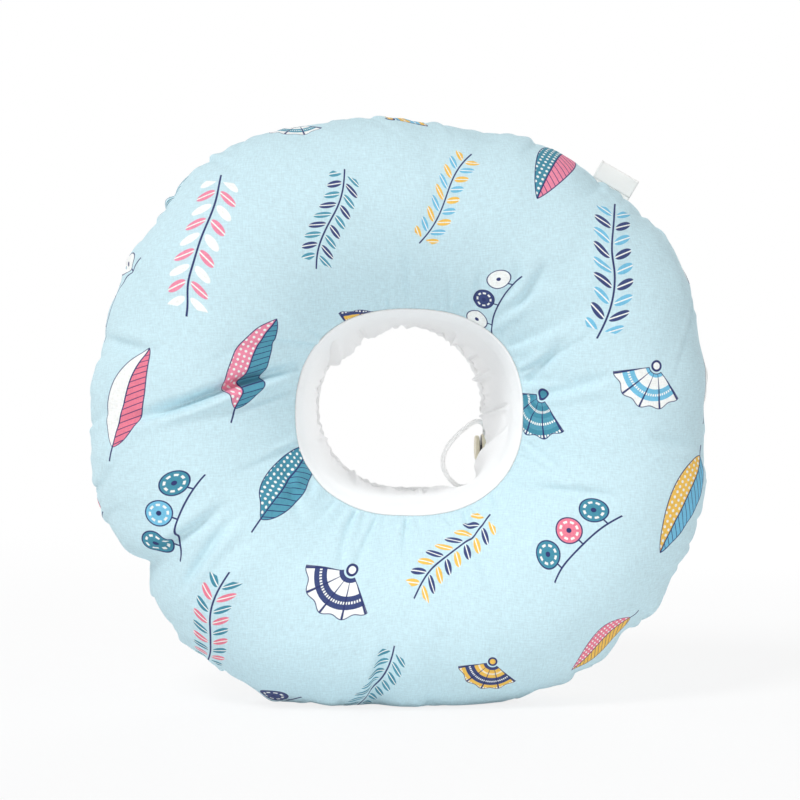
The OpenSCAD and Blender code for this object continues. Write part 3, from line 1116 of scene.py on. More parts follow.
@dataclass
class StuffedRing:
    """The printed cushion ring: two panels sewn at the rim and at the neck, and its filling.

    Angles run round the neck (phi, from the right, anticlockwise seen from the front) and round
    the ring's section (theta: 0 at the rim, 90 at the front, 180 at the neck, 270 at the rear).
    Lengths are in metres, apart from those of folds, dents and nicks, which are in millimetres.

    Attributes:
        half_w, half_h, depth, square: the rim's half-width, half-height, thickness and power.
        centre: the rim's middle from the neck's axis.
        neck, lip: the neck seam's half-width, half-height and power, and the lip inside it.
        rim_seam, front_seam, rear_seam: the section angles of the three seams.
        cloth: the cloth's thickness.
        columns, half_rows: the simulated grid's columns, and its rows in each panel.
        rear_cut: how far from the front panel's cloth the rear panel's is cut.
        rear_tuck: how far the rear panel's edge is drawn in at the neck seam.
        soft: how gently the ring flattens where it stands.
        stuffed: how far the filling lies under the deepest fold near it, in millimetres.
        slack, pressure, frames: the simulated cloth's spare length, pressure and time.
        dents, nicks: places in degrees, depths and half-widths of the rim's dents.
        creases, rear_creases: the large folds of the front and the rear panel.
        seam_gathers: each seam's share of the rows, groove's depth and width, and gathers.
        rim_row, closing_row: the stitches of the rim and of the hand-sewn stretch.
        grid, normals: the shaped skin's points and normals, by column and row.
        inner: the filling's points.
        phi: the columns' angles.
    """

    half_w: float = 0.180
    half_h: float = 0.173
    depth: float = 0.096
    square: float = 2.4
    centre: tuple[float, float] = (-0.005, -0.003)
    neck: tuple[float, float, float] = (0.065, 0.059, 2.3)
    lip: float = 0.0054
    rim_seam: float = -5.0
    front_seam: float = 155.0
    rear_seam: float = -170.0
    cloth: float = 0.0012
    columns: int = 250
    half_rows: int = 40
    rear_cut: float = 0.73
    rear_tuck: float = 0.0015
    soft: float = 0.0016
    stuffed: float = 2.6
    slack: float = 0.085
    pressure: float = 16.0
    frames: int = 30
    dents: tuple[tuple[float, float, float], ...] = (
        (2, 2.4, 5), (14, 2.0, 5), (39, 3, 3.5), (50, 6, 7), (62, 2.5, 6), (73, 4, 6), (84, 2, 6),
        (94, -0.8, 5), (122, -1.6, 9), (145, 4, 6), (153, 4, 4), (164, 4.5, 6), (204, 3, 5),
        (210.5, 11, 3.6), (216, 8, 5), (224, 3, 4), (231, 7, 5), (238, 3, 4), (265, 4, 4),
        (303, 1, 5), (314, 4.5, 7), (328, 1.2, 8), (343, -0.8, 8), (355, 3, 4),
    )
    nicks: tuple[tuple[float, float, float], ...] = (
        (7, -3, 5), (57, 1.6, 3), (79, 1.4, 3), (140, 4, 6), (151, -1.6, 2), (156.5, 3, 3),
        (169.5, 2.6, 2.5), (204, 4.5, 4), (208.8, 8, 2.2), (220, 2.4, 4), (232, -3.4, 6),
        (246, -3.4, 3), (254, 2, 3), (262, 3.5, 1.4), (270, -3.4, 5), (272, 4, 1.2),
        (283, -2.4, 5), (296.5, 3.4, 2.2), (302, -3, 3), (311, -5, 4.5), (316, 6, 1.4),
        (322, -3.6, 5), (340, -1.4, 10), (356, -2, 4),
    )
    creases: tuple[Crease, ...] = (
        Crease(((-60, 197), (-80, 191), (-91, 188), (-102, 185), (-114, 180), (-128, 175),
                (-142, 171), (-172, 161)), 9.6, 1.9, 3.6),
        Crease(((-60, 186), (-86, 176), (-112, 168)), 1.8, 1.7, 1.0),
        Crease(((-146, 92), (-125, 105), (-100, 123)), 3.4, 2.1, 1.9),
        Crease(((-133, 66), (-108, 103), (-90, 120)), 3.0, 1.9, -1.6),
        Crease(((-71, 146), (-66, 123), (-58, 104)), 1.6, 1.8, 0.8),
        Crease(((62, 181), (79, 204), (92, 216)), 1.9, 1.8, 1.1),
        Crease(((66, 178), (97, 186), (124, 198)), 2.0, 2.0, -1.2),
        Crease(((66, 128), (94, 126), (124, 122)), 1.6, 2.0, 1.0),
        Crease(((36, 229), (37, 240), (38, 254)), 1.2, 1.6, 0.7),
        Crease(((55, 226), (66, 240), (79, 260)), 1.6, 1.8, 1.0),
        Crease(((50, 232), (58, 243), (60, 260)), 1.2, 1.6, -0.7),
        Crease(((-3, 234), (-3, 250), (-8, 268)), 1.3, 1.8, 0.8),
        Crease(((-178, 214), (-158, 208), (-136, 204)), 2.0, 2.4, 1.2),
        Crease(((165, 150), (148, 153), (128, 158)), 1.6, 2.4, 1.0),
        Crease(((-24, 2), (-20, 22), (-14, 44)), 2.2, 2.2, 1.2),
    )
    seam_gathers: tuple[tuple[float, float, float, Gathers | None, Gathers | None], ...] = (
        (0.5, 1.4, 3.0, Gathers(78, 44, 2.1, 2.4, 21), Gathers(74, 44, 2.1, 2.4, 22)),
        (0.0, 0.3, 1.6, Gathers(46, 54, 1.6, 1.9, 23), None),
        (1.0, 0.5, 1.8, None, Gathers(50, 50, 1.8, 2.0, 24)),
    )
    rear_creases: tuple[Crease, ...] = (
        Crease(((-66, 150), (-96, 140), (-140, 132)), 3.0, 2.2, 1.6),
        Crease(((60, 206), (86, 226), (120, 240)), 2.6, 2.2, -1.5),
        Crease(((20, 108), (26, 84), (30, 52)), 2.2, 2.0, 1.3),
        Crease(((-30, 230), (-44, 258), (-60, 290)), 2.6, 2.2, 1.4),
        Crease(((150, 88), (124, 104), (98, 120)), 2.6, 2.2, -1.4),
        Crease(((-150, 250), (-124, 238), (-96, 226)), 2.6, 2.4, 1.3),
        Crease(((40, 318), (38, 292), (34, 262)), 1.8, 2.0, 1.0),
    )
    rim_row: StitchRow = StitchRow(
        "rim_thread_stitches", "rim_thread", AQUA_THREAD,
        pitch=0.0032, length=0.0026, radius=0.00026, lift=0.0002, lowest=0.0006)
    closing_row: StitchRow = StitchRow(
        "closing_hand_stitches", "closing_stitches", AQUA_THREAD, pitch=0.0042, length=0.0042,
        radius=0.0003, lift=0.0003, lowest=0.0009, slanted=True)
    grid: Array = field(init=False, repr=False, default=None)
    normals: Array = field(init=False, repr=False, default=None)
    inner: Array = field(init=False, repr=False, default=None)
    phi: Array = field(init=False, repr=False, default=None)

    def oval(self, a: float, b: float, power: float, phi: Array) -> Array:
        """Returns the distance to an ellipse-like line: (|cos/a|^n + |sin/b|^n)^(-1/n)."""
        t = np.radians(phi)
        return (np.abs(np.cos(t) / a) ** power + np.abs(np.sin(t) / b) ** power) ** (-1 / power)

    def wall(self, phi: Array) -> Array:
        """Returns the neck opening's distance from its axis."""
        return self.oval(*self.neck, phi) - self.lip

    def rim(self, phi: Array) -> Array:
        """Returns the rim's distance from the ring's middle, less its dents, each a round hump."""
        pull = sum(depth * hump(turned(phi, at), wide) for at, depth, wide in self.dents)
        return self.oval(self.half_w, self.half_h, self.square, phi) - pull * MM

    def skin(self, phi: Array, theta: Array) -> Array:
        """Works out points of the plain ring.

        The flat place is mixed from neck to rim by (1 + cos theta) / 2, and the depth is
        -(t / 2) sin theta.

        Args:
            phi: angles round the neck.
            theta: angles round the section.

        Returns:
            The points.
        """
        t = np.radians(phi)
        way = np.stack([np.cos(t), np.sin(t)], -1)
        inner = self.wall(phi)[..., None] * way
        outer = np.array(self.centre) + self.rim(phi)[..., None] * way
        flat = mixed(inner, outer, (1 + np.cos(np.radians(theta)))[..., None] / 2)
        y = -self.depth / 2 * np.sin(np.radians(theta))
        return np.stack([flat[..., 0], y + 0 * flat[..., 0], AXIS + flat[..., 1]], -1)

    def swollen(self, start: Array, theta: Array) -> Array:
        """Blows up the slack skin in a cloth simulation at ten times its size.

        The rest shape is the skin cut as two flat-sided cones with spare length round the rim,
        so that the cloth gathers along the rim's seam and lies smooth at the neck. No point
        ends more than 12 mm from where it began.

        Args:
            start: the plain ring's points by column and row.
            theta: the rows' section angles.

        Returns:
            The simulated points.
        """
        columns, rows = start.shape[:2]
        scale, farthest = 10.0, 0.012
        away = unit(start - start.mean(1, keepdims=True))
        begun = start + away * self.unevenness(columns, rows)[..., None]
        piece = grid_piece("slack_skin", begun * scale, None, away, (True, False))
        piece.shape_key_add(name="Basis")
        rest = piece.shape_key_add(name="cut")
        rest.data.foreach_set("co", (self.flat_cut(start, theta) * scale).ravel())
        pins = piece.vertex_groups.new(name="seams")
        numbers = np.arange(columns * rows).reshape(columns, rows)
        grips = {0: 1.0, rows - 1: 1.0, self.half_rows: 0.6, 1: 0.6, rows - 2: 0.6}
        for row, grip in grips.items():
            pins.add(numbers[:, row].tolist(), grip, "REPLACE")
        cloth = piece.modifiers.new("cloth", "CLOTH")
        ways = cloth.settings
        ways.quality, ways.mass, ways.air_damping = 5, 0.2, 1.0
        ways.tension_stiffness = ways.compression_stiffness = 15
        ways.shear_stiffness, ways.bending_stiffness, ways.bending_damping = 6, 0.25, 0.5
        ways.use_pressure, ways.uniform_pressure_force = True, self.pressure
        ways.vertex_group_mass, ways.pin_stiffness = "seams", 1
        ways.rest_shape_key = rest
        ways.effector_weights.gravity = 0
        cloth.collision_settings.use_collision = False
        cloth.point_cache.frame_end = self.frames
        scene = bpy.context.scene
        for number in range(1, self.frames + 1):
            scene.frame_set(number)
        done = piece.evaluated_get(bpy.context.evaluated_depsgraph_get())
        points = np.empty(columns * rows * 3, dtype=np.float32)
        done.to_mesh().vertices.foreach_get("co", points)
        done.to_mesh_clear()
        mesh = piece.data
        bpy.data.objects.remove(piece)
        bpy.data.meshes.remove(mesh)
        scene.frame_set(1)
        moved = points.reshape(columns, rows, 3) / scale - start
        far = np.linalg.norm(moved, axis=-1, keepdims=True)
        return start + moved * np.minimum(1, farthest / np.maximum(far, 1e-9))

    def unevenness(self, columns: int, rows: int) -> Array:
        """Makes an uneven start for the cloth: random numbers, averaged six times with those near.

        Args:
            columns: the grid's columns.
            rows: its rows.

        Returns:
            Heights with a spread of 0.6 mm, and none at the seams.
        """
        noise = np.random.default_rng(7).normal(size=(columns, rows))
        for _ in range(6):
            ends = np.pad(noise, ((0, 0), (1, 1)), mode="edge")
            round_it = np.roll(noise, 1, 0) + np.roll(noise, -1, 0)
            noise = (noise + round_it + ends[:, :-2] + ends[:, 2:]) / 5
        noise[:, [0, self.half_rows, rows - 1]] = 0
        return noise / noise.std() * 0.0006

    def flat_cut(self, start: Array, theta: Array) -> Array:
        """Cuts the cloth: each row rises by what its slack reach leaves of its length.

        Args:
            start: the plain ring's points.
            theta: the rows' section angles.

        Returns:
            The cut cloth's points.
        """
        columns = len(start)
        reach = np.linalg.norm(start[..., [0, 2]] - [0, AXIS], axis=-1)
        spare = np.clip((1 + np.cos(np.radians(theta))) * 0.65, 0, 1)
        reach = reach * (1 + self.slack * spare)
        length = np.linalg.norm(np.diff(start, axis=1), axis=-1) * 1.02
        rise = np.sqrt(np.maximum(length**2 - np.diff(reach, axis=1) ** 2, 1e-10))
        rise = np.concatenate([np.zeros((columns, 1)), np.cumsum(rise, 1)], 1)
        t = np.arange(columns)[:, None] * TURN / columns
        return np.stack([reach * np.cos(t), rise, reach * np.sin(t)], -1)

    def shape(self) -> None:
        """Shapes the whole skin: blown up, refined, nicked, creased, puckered and settled."""
        front = np.linspace(self.front_seam, self.rim_seam, self.half_rows + 1)
        rear = np.linspace(self.rim_seam, self.rear_seam, self.half_rows + 1)[1:]
        theta = np.concatenate([front, rear])
        phi = np.arange(self.columns) * 360 / self.columns
        p, t = np.meshgrid(phi, theta, indexing="ij")
        grid = self.skin(p, t)
        grid = self.swollen(grid, t)
        for _ in range(2):
            grid = finer(finer(grid, True, 0), False, 1)
        self.phi = np.arange(grid.shape[0]) * 360 / grid.shape[0]
        grid = self.nicked(grid)
        core = grid.mean(1, keepdims=True)
        normals = self.outward(grid, core)
        height = self.creased(grid) + self.gathered(grid)
        self.inner = grid + normals * (self.lowest(height)[..., None] - self.stuffed) * MM
        grid = grid + normals * height[..., None] * MM
        way = unit(grid[..., [0, 2]] - [0, AXIS])
        turned_in = self.rear_tuck * hump(self.run_from(grid, -1), 0.0025)
        grid[..., [0, 2]] -= way * turned_in[..., None]
        grid[..., 2] = (grid[..., 2] + np.hypot(grid[..., 2], self.soft)) / 2
        self.grid = grid
        self.normals = self.outward(grid, core)

    def outward(self, grid: Array, core: Array) -> Array:
        """Returns the grid's normals, pointing away from the section's middle."""
        normals = facing(grid, True)
        return normals * np.sign(((grid - core) * normals).sum())

    def lowest(self, height: Array) -> Array:
        """Finds the lowest place round each point.

        Args:
            height: heights by column and row.

        Returns:
            The least height within five columns and rows of each point.
        """
        for step in (1, 2, 2):
            sides = np.minimum(np.roll(height, step, 0), np.roll(height, -step, 0))
            height = np.minimum(height, sides)
            ends = np.minimum(height[:, : -2 * step], height[:, 2 * step :])
            height[:, step:-step] = np.minimum(height[:, step:-step], ends)
        return height

    def nicked(self, grid: Array) -> Array:
        """Pulls the rim in or out at its nicks: each reaches 6 mm + 4 mm a degree from the seam.

        Args:
            grid: the skin's points, which are moved.

        Returns:
            The same points.
        """
        middle = np.array([self.centre[0], AXIS + self.centre[1]])
        way = unit(grid[..., [0, 2]] - middle)
        far = self.run_from(grid, self.middle)
        for at, depth, wide in self.nicks:
            move = depth * MM * hump(turned(self.phi, at), wide)[:, None]
            move = move * hump(far, 0.006 + 0.004 * wide)
            grid[..., [0, 2]] -= move[..., None] * way
        return grid

    def creased(self, grid: Array) -> Array:
        """Adds up the large folds, each on its own panel.

        Args:
            grid: the skin's points.

        Returns:
            Heights over the skin in millimetres.
        """
        x, z = grid[..., 0] / MM, grid[..., 2] / MM
        height = np.zeros(x.shape)
        for panel, creases in ((Panel.FRONT, self.creases), (Panel.REAR, self.rear_creases)):
            rows = self.rows_of(panel)
            for crease in creases:
                height[:, rows] += crease.height(x[:, rows], z[:, rows])
        near = np.minimum(self.run_from(grid, 0), self.run_from(grid, -1))
        return height * eased(near / 0.004 + 0.1)

    @property
    def middle(self) -> int:
        """Returns the rim seam's row in the refined grid."""
        return 4 * self.half_rows

    def rows_of(self, panel: Panel) -> slice:
        """Returns a panel's rows in the refined grid."""
        front = panel is Panel.FRONT
        return slice(None, self.middle + 1) if front else slice(self.middle, None)

    def run_from(self, grid: Array, row: int) -> Array:
        """Measures along the sections.

        Args:
            grid: the skin's points.
            row: the row to measure from.

        Returns:
            Each point's distance from that row, in metres.
        """
        steps = np.linalg.norm(np.diff(grid, axis=1), axis=-1)
        run = np.concatenate([np.zeros((len(grid), 1)), np.cumsum(steps, 1)], 1)
        return np.abs(run - run[:, row][:, None])

    def gathered(self, grid: Array) -> Array:
        """Adds up the folds that run from the seams and the seams' grooves.

        Args:
            grid: the skin's points.

        Returns:
            Heights over the skin in millimetres.
        """
        radius = np.hypot(grid[..., 0], grid[..., 2] - AXIS) / MM
        total = np.zeros(grid.shape[:2])
        for share, groove, wide, front, rear in self.seam_gathers:
            far = self.run_from(grid, round(share * 2 * self.middle)) / MM
            total -= groove * hump(far, wide)
            for gathers, panel in ((front, Panel.FRONT), (rear, Panel.REAR)):
                if gathers:
                    rows, phi = self.rows_of(panel), self.phi[:, None]
                    total[:, rows] += gathers.height(phi, far[:, rows], radius[:, rows])
        return total

    def cloth_uv(self, panel: Panel) -> Array:
        """Lays a panel on the flat cloth, at a radius of 62 mm + 0.93 of the run from the neck.

        The rear panel is cut from another stretch of the cloth.

        Args:
            panel: the panel.

        Returns:
            A pair in metres for each of its points.
        """
        front = panel is Panel.FRONT
        run = self.run_from(self.grid[:, self.rows_of(panel)], 0 if front else -1).mean(0)
        radius = 0.062 + 0.93 * run
        t = np.radians(np.append(self.phi, 360.0))[:, None]
        side, away = (1.0, 0.0) if front else (-1.0, self.rear_cut)
        return np.stack([radius * np.cos(t) * side + away, radius * np.sin(t) + away * 0.6], -1)

    def build(self) -> None:
        """Makes the two panels, the filling and the ring's stitches."""
        self.shape()
        for panel in Panel:
            rows = self.rows_of(panel)
            piece = grid_piece(f"{panel.value}_cloth", self.grid[:, rows], self.cloth_uv(panel),
                               self.normals[:, rows], (True, False))
            thickened(piece, self.cloth)
            dressed(piece, "collar", PRINT, panel.value)
        self.filling()
        self.rim_row.sew(*self.seam(self.middle, 313, 647))
        self.closing_row.sew(*self.seam(self.middle, 287, 313))

    def filling(self) -> None:
        """Makes the filling as the skin's own shape drawn in, on every fourth column and row."""
        inner = self.inner[::4, ::4]
        inner[..., 2] = np.maximum(inner[..., 2], 0.0022)
        piece = grid_piece("filling_fibre", inner, None, self.normals[::4, ::4], (True, True))
        dressed(piece, "collar", FILL, "filling")

    def seam(self, row: int, first: float = 0, last: float = 360) -> tuple[Array, Array]:
        """Follows a seam between two angles.

        Args:
            row: the seam's row.
            first: the first angle round the neck.
            last: the last angle.

        Returns:
            The seam's points and outward directions.
        """
        count = len(self.phi)
        around = np.arange(round(first / 360 * count), round(last / 360 * count) + 1) % count
        return self.grid[around, row], self.normals[around, row]


# ---------------------------------------------------------------- the neck sleeve


@dataclass
class NeckSleeve:
    """The white sleeve behind the ring, gathered into a hem that holds the drawcord.

    Attributes:
        ring: the ring that it is sewn to.
        cloth: the cloth's thickness.
        far_edge: where the sleeve ends behind the ring.
        waist: how far the sleeve narrows between its ends.
        slit_depth: how far the edge is cut back beside the cord lock.
        hem_radial, hem_half, hem_wall: the hem's half-sizes and wall.
        upper_end, lower_end: how far the hem runs on past the two ends of its circle.
        girth, hem_girth: the flat cloth's length round the neck and round the hem's casing.
        columns, rows, wall_rows: the grid's size, and its rows inside the ring's neck.
        humps: soft folds: place in degrees, sway, half-width, height in millimetres and start.
        creases: sharp folds: first and last place in degrees, width (below 0 to face the other
            way), depth and ridge in millimetres, and start.
        front_row, rear_row, hem_row, seam_row: the rows of stitches.
    """

    ring: StuffedRing
    cloth: float = 0.0008
    far_edge: float = 0.0866
    waist: float = 0.002
    slit_depth: float = 0.007
    hem_radial: float = 0.0031
    hem_half: float = 0.00475
    hem_wall: float = 0.00096
    upper_end: float = 0.004
    lower_end: float = 0.026
    girth: float = 0.40
    hem_girth: float = 0.026
    columns: int = 600
    rows: int = 64
    wall_rows: int = 12
    humps: tuple[tuple[float, float, float, float, float], ...] = (
        (315, 36, 5.0, 4.6, 0.0), (356, 5, 1.6, 1.8, 0.0), (352, 4, 8.0, 3.6, 0.45),
        (134, 4, 12.0, 7.4, 0.05), (111, -3, 13.0, 5.6, 0.1), (121, 10, 2.4, 1.6, 0.0),
        (147, -6, 2.6, 1.4, 0.2), (20, 6, 2.2, 4.6, 0.3), (55, -8, 3.2, 2.8, 0.15),
        (38, 5, 3.0, 1.6, 0.4), (72, 6, 3.4, 1.6, 0.3), (86, -5, 3.0, 1.8, 0.3),
        (205, -6, 5.0, 2.4, 0.3), (233, 7, 4.0, 2.0, 0.35), (262, -6, 5.0, 2.2, 0.3),
        (292, 7, 4.4, 2.4, 0.35),
    )
    creases: tuple[tuple[float, float, float, float, float, float], ...] = (
        (4, -6, -0.9, -1.9, -1.5, 0.0), (351, 316, 1.4, 1.6, 1.8, 0.0),
        (135, 154, -1.5, -3.4, -2.0, 0.0), (120, 118, 1.1, -1.6, 1.0, 0.1),
        (166, 170, 1.0, -1.0, -0.8, 0.3), (24, 18, 1.0, 1.8, -1.6, 0.3),
        (38, 34, 0.9, -1.4, -1.0, 0.4), (58, 50, 1.1, 1.8, 1.2, 0.25),
        (74, 78, 0.9, -1.3, -0.9, 0.4), (92, 96, 1.0, 1.5, 1.0, 0.35),
        (196, 204, 1.2, 1.4, 1.0, 0.3), (240, 232, 1.2, 1.5, -1.0, 0.3),
        (276, 284, 1.1, 1.4, 1.0, 0.35), (301, 296, 1.0, 1.2, -1.0, 0.4),
    )
    front_row: StitchRow = StitchRow(
        "front_neck_stitches", "front_neck_thread", WHITE_THREAD,
        pitch=0.0034, length=0.0024, radius=0.0002, lift=0.0001)
    rear_row: StitchRow = StitchRow(
        "rear_neck_stitches", "rear_neck_thread", WHITE_THREAD,
        pitch=0.0034, length=0.0024, radius=0.00022, lift=0.0001)
    hem_row: StitchRow = StitchRow(
        "hem_stitches", "hem_thread", WHITE_THREAD,
        pitch=0.003, length=0.0023, radius=0.00022, lift=0.0002)
    seam_row: StitchRow = StitchRow(
        "sleeve_seam_stitches", "sleeve_seam_thread", WHITE_THREAD,
        pitch=0.0032, length=0.0024, radius=0.00022, lift=0.0009)

    def mouth_reach(self, phi: Array) -> Array:
        """Works out the hem line: round, but square with a rounded corner where the cords leave it.

        Args:
            phi: angles round the neck.

        Returns:
            The line's distance from the axis.
        """
        below = (360 - phi) % 360
        c, s = np.cos(np.radians(below)), np.sin(np.radians(below))
        core = MOUTH - MOUTH_CORNER
        inside = np.maximum(MOUTH_CORNER**2 - core**2 * (2 - (c + s) ** 2), 0)
        corner = core * (c + s) + np.sqrt(inside)
        with np.errstate(divide="ignore", invalid="ignore"):
            flat_x, flat_z = MOUTH / c, MOUTH / s
        on_right, on_base = np.abs(s * corner) < core, np.abs(c * corner) < core
        cornered = np.where(on_right, flat_x, np.where(on_base, flat_z, corner))
        return np.where((below > 90) | (below == 0), MOUTH, cornered)

    def slit(self, phi: Array) -> Array:
        """Works out the cut beside the cord lock, which runs from 3 to 64 degrees below the right.

        Args:
            phi: angles round the neck.

        Returns:
            How far the sleeve's edge is cut back.
        """
        below = (360 - phi) % 360
        cut = self.slit_depth * eased((below - 3) / 6) * eased((64 - below) / 16)
        return np.where(below > 90, 0, cut)

    def folds(self, phi: Array, share: Array) -> Array:
        """Works out how far the gathers draw the sleeve inwards.

        Small random folds and the set humps are round humps in phi that grow towards the drawn
        hem and shrink in it; the creases are sharp folds with a valley and a ridge. Fine pleats
        stand in the last third.

        Args:
            phi: angles round the neck.
            share: 0 at the ring, 1 at the hem.

        Returns:
            Distances in metres.
        """
        rng = np.random.default_rng(5)
        total = np.zeros(np.broadcast(phi, share).shape)
        for middle in np.arange(6, 354, 15.5):
            at = middle + rng.uniform(-5, 5)
            sway = rng.uniform(-10, 10)
            wide = rng.uniform(1.6, 3.6)
            high = rng.uniform(0.5, 2.0)
            start = rng.uniform(0.2, 0.6)
            s = turned(phi, 0) - turned(at + sway * (1 - share), 0)
            grown = np.clip((share - start) / (1 - start), 0, 1) ** 1.4
            gone = 1 - 0.5 * eased((share - 0.86) / 0.12)
            total += high * grown * gone * hump(s, wide * (1.5 - 0.5 * share))
        for at, sway, wide, high, start in self.humps:
            grown = eased((share - start) / (0.82 - start))
            gone = 1 - 0.75 * eased((share - 0.84) / 0.16)
            total += high * grown * gone * hump(turned(phi, at + sway * (1 - share)), wide)
        for first, last, wide, deep, ridge, start in self.creases:
            line = mixed(first, last, share)
            s = np.radians(turned(phi, line)) * MOUTH / MM * np.sign(wide)
            grown = eased((share - start) / 0.3 + 0.1)
            gone = 1 - 0.8 * eased((share - 0.84) / 0.13)
            total -= folded(s, abs(wide), deep, ridge) * grown * gone
        waves = (np.sin(np.radians(n * phi) + rng.uniform(0, TURN)) for n in (47, 53, 61, 74))
        total += (sum(waves) / 4 + 0.4) * np.clip((share - 0.55) / 0.45, 0, 1) ** 1.3
        return total * MM

    def sheet(self) -> tuple[Array, Array]:
        """Shapes the sleeve from the ring's seam to the hem.

        The wall lines the ring's neck; the tube behind it runs from the neck's shape to the
        hem's, with a slight waist, its folds and a ruffled edge.

        Returns:
            The sleeve's points and its places on the flat cloth.
        """
        phi = np.arange(self.columns) * 360 / self.columns
        near = np.linspace(155.6, 180, self.wall_rows + 1)[:-1]
        wall = self.ring.skin(*np.meshgrid(phi, near, indexing="ij"))
        p, s = np.meshgrid(phi, np.linspace(0, 1, self.rows), indexing="ij")
        reach = self.ring.wall(p)
        spread = self.mouth_reach(p) - 0.0004 - reach
        radius = reach + spread * np.where(spread > 0, s**2, s) - self.waist * np.sin(np.pi * s)
        radius = radius - self.folds(p, s)
        y = s * (self.far_edge - self.slit(p)) - np.abs(0.0006 * np.sin(np.radians(p * 41)) * s**3)
        c, q = np.cos(np.radians(p)), np.sin(np.radians(p))
        tube = np.stack([radius * c, y, AXIS + radius * q], -1)
        grid = np.concatenate([wall, tube], 1)
        run = self.ring.run_from(grid, 0).mean(0)
        around = np.append(phi, 360.0) / 360 * self.girth
        return grid, np.stack(np.meshgrid(around, run, indexing="ij"), -1)

    def hem_line(self) -> Array:
        """Draws the hem's centre line: down the right, three quarters round, along the base.

        Returns:
            The line's points.
        """
        turn = np.radians(np.linspace(0, 270, 271))
        x, z = MOUTH * np.cos(turn), AXIS + MOUTH * np.sin(turn)
        circle = np.stack([x, 0 * x + HEM_Y, z], -1)
        above = np.linspace(self.upper_end, 0.0008, 5)[:, None] * [0, 0, -1]
        beside = np.linspace(0.001, self.lower_end, 22)[:, None] * [1, 0, 0]
        return np.vstack([above + circle[0], circle, beside + circle[-1]])

    def hem(self) -> tuple[Array, Array, Array]:
        """Shapes the drawn hem: an oval casing whose cloth puffs between its gathers.

        The gathers are four random waves of 5 to 11 mm along the hem and one that slants round
        it; they draw the casing in by up to 15 % radially and 6 % along the axis.

        Returns:
            The casing's points, its places on the flat cloth and its outward directions.
        """
        line = self.hem_line()
        run = run_along(line)
        at = np.linspace(0, run[-1], 620)
        line = np.stack([np.interp(at, run, line[:, k]) for k in range(3)], -1)
        depth = np.array([0.0, 1.0, 0.0])
        across = np.cross(unit(np.gradient(line, axis=0)), depth)
        sides = 28
        a = np.arange(sides)[None, :] * TURN / sides
        rng = np.random.default_rng(9)
        steps = (0.0049, 0.0061, 0.0078, 0.0113)
        beat = sum(np.sin(at[:, None] * TURN / n + rng.uniform(0, TURN)) for n in steps) / 4
        beat = beat + 0.35 * np.sin(at[:, None] * TURN / 0.0055 + 2 * a)
        drawn = eased(np.minimum(at, at[-1] - at) / 0.006)[:, None] * (1 - beat)
        c, s = (np.sign(wave) * np.abs(wave) ** 0.8 for wave in (np.cos(a), np.sin(a)))
        radial = self.hem_radial * c * (1 - 0.15 * drawn)
        deep = self.hem_half * s * (1 - 0.06 * drawn)
        out = across[:, None] * radial[..., None] + depth * deep[..., None]
        u, v = np.meshgrid(np.arange(sides + 1) / sides * self.hem_girth, at)
        return line[:, None] + out, np.stack([u, v], -1), out

    def build(self) -> None:
        """Makes the sleeve, its hem and their stitches."""
        grid, uv = self.sheet()
        inward = grid * [-1, 0, -1] + [0, 0, AXIS]
        inward[:, : self.wall_rows, 1] = -0.02
        sleeve = grid_piece("neck_sleeve_cloth", grid, uv, inward, (True, False))
        thickened(sleeve, self.cloth)
        dressed(sleeve, "collar", WHITE, "neck_sleeve")
        hem = grid_piece("sleeve_hem_casing", *self.hem(), (False, True))
        thickened(hem, self.hem_wall)
        dressed(hem, "collar", WHITE, "sleeve_hem")
        self.stitches(grid)

    def stitches(self, grid: Array) -> None:
        """Makes the neck seams, the hem's row, the sleeve's own seam and the bar tacks.

        Args:
            grid: the sleeve's points.
        """
        self.front_row.sew(*self.ring.seam(0))
        self.rear_row.sew(*self.ring.seam(-1))
        edge = grid[: self.columns * 3 // 4, -2] + [0, -0.0032, 0]
        self.hem_row.sew(edge, unit((edge - [0, 0, AXIS]) * [-1, 0, -1]))
        self.seam_row.sew(grid[0, self.wall_rows + 2 : -3], (1.0, 0.0, 0.0))
        left, up = np.array([-1.0, 0, 0]), np.array([0, 0, 1.0])
        first, last = self.hem_line()[[0, -1]]
        steps = (0.0014 + 0.0005 * np.arange(5))[:, None]
        at = np.vstack([first + up * steps + left * self.hem_radial,
                        last + left * steps + up * self.hem_radial])
        ups = np.repeat([left, up], len(steps), axis=0)
        tacks = stitch_piece("mouth_bar_tacks", at, (0.0, 1.0, 0.0), ups, 0.0052, 0.00024)
        dressed(tacks, "collar", WHITE_THREAD, "mouth_bartacks")


# ---------------------------------------------------------------- drawcord, lock and label


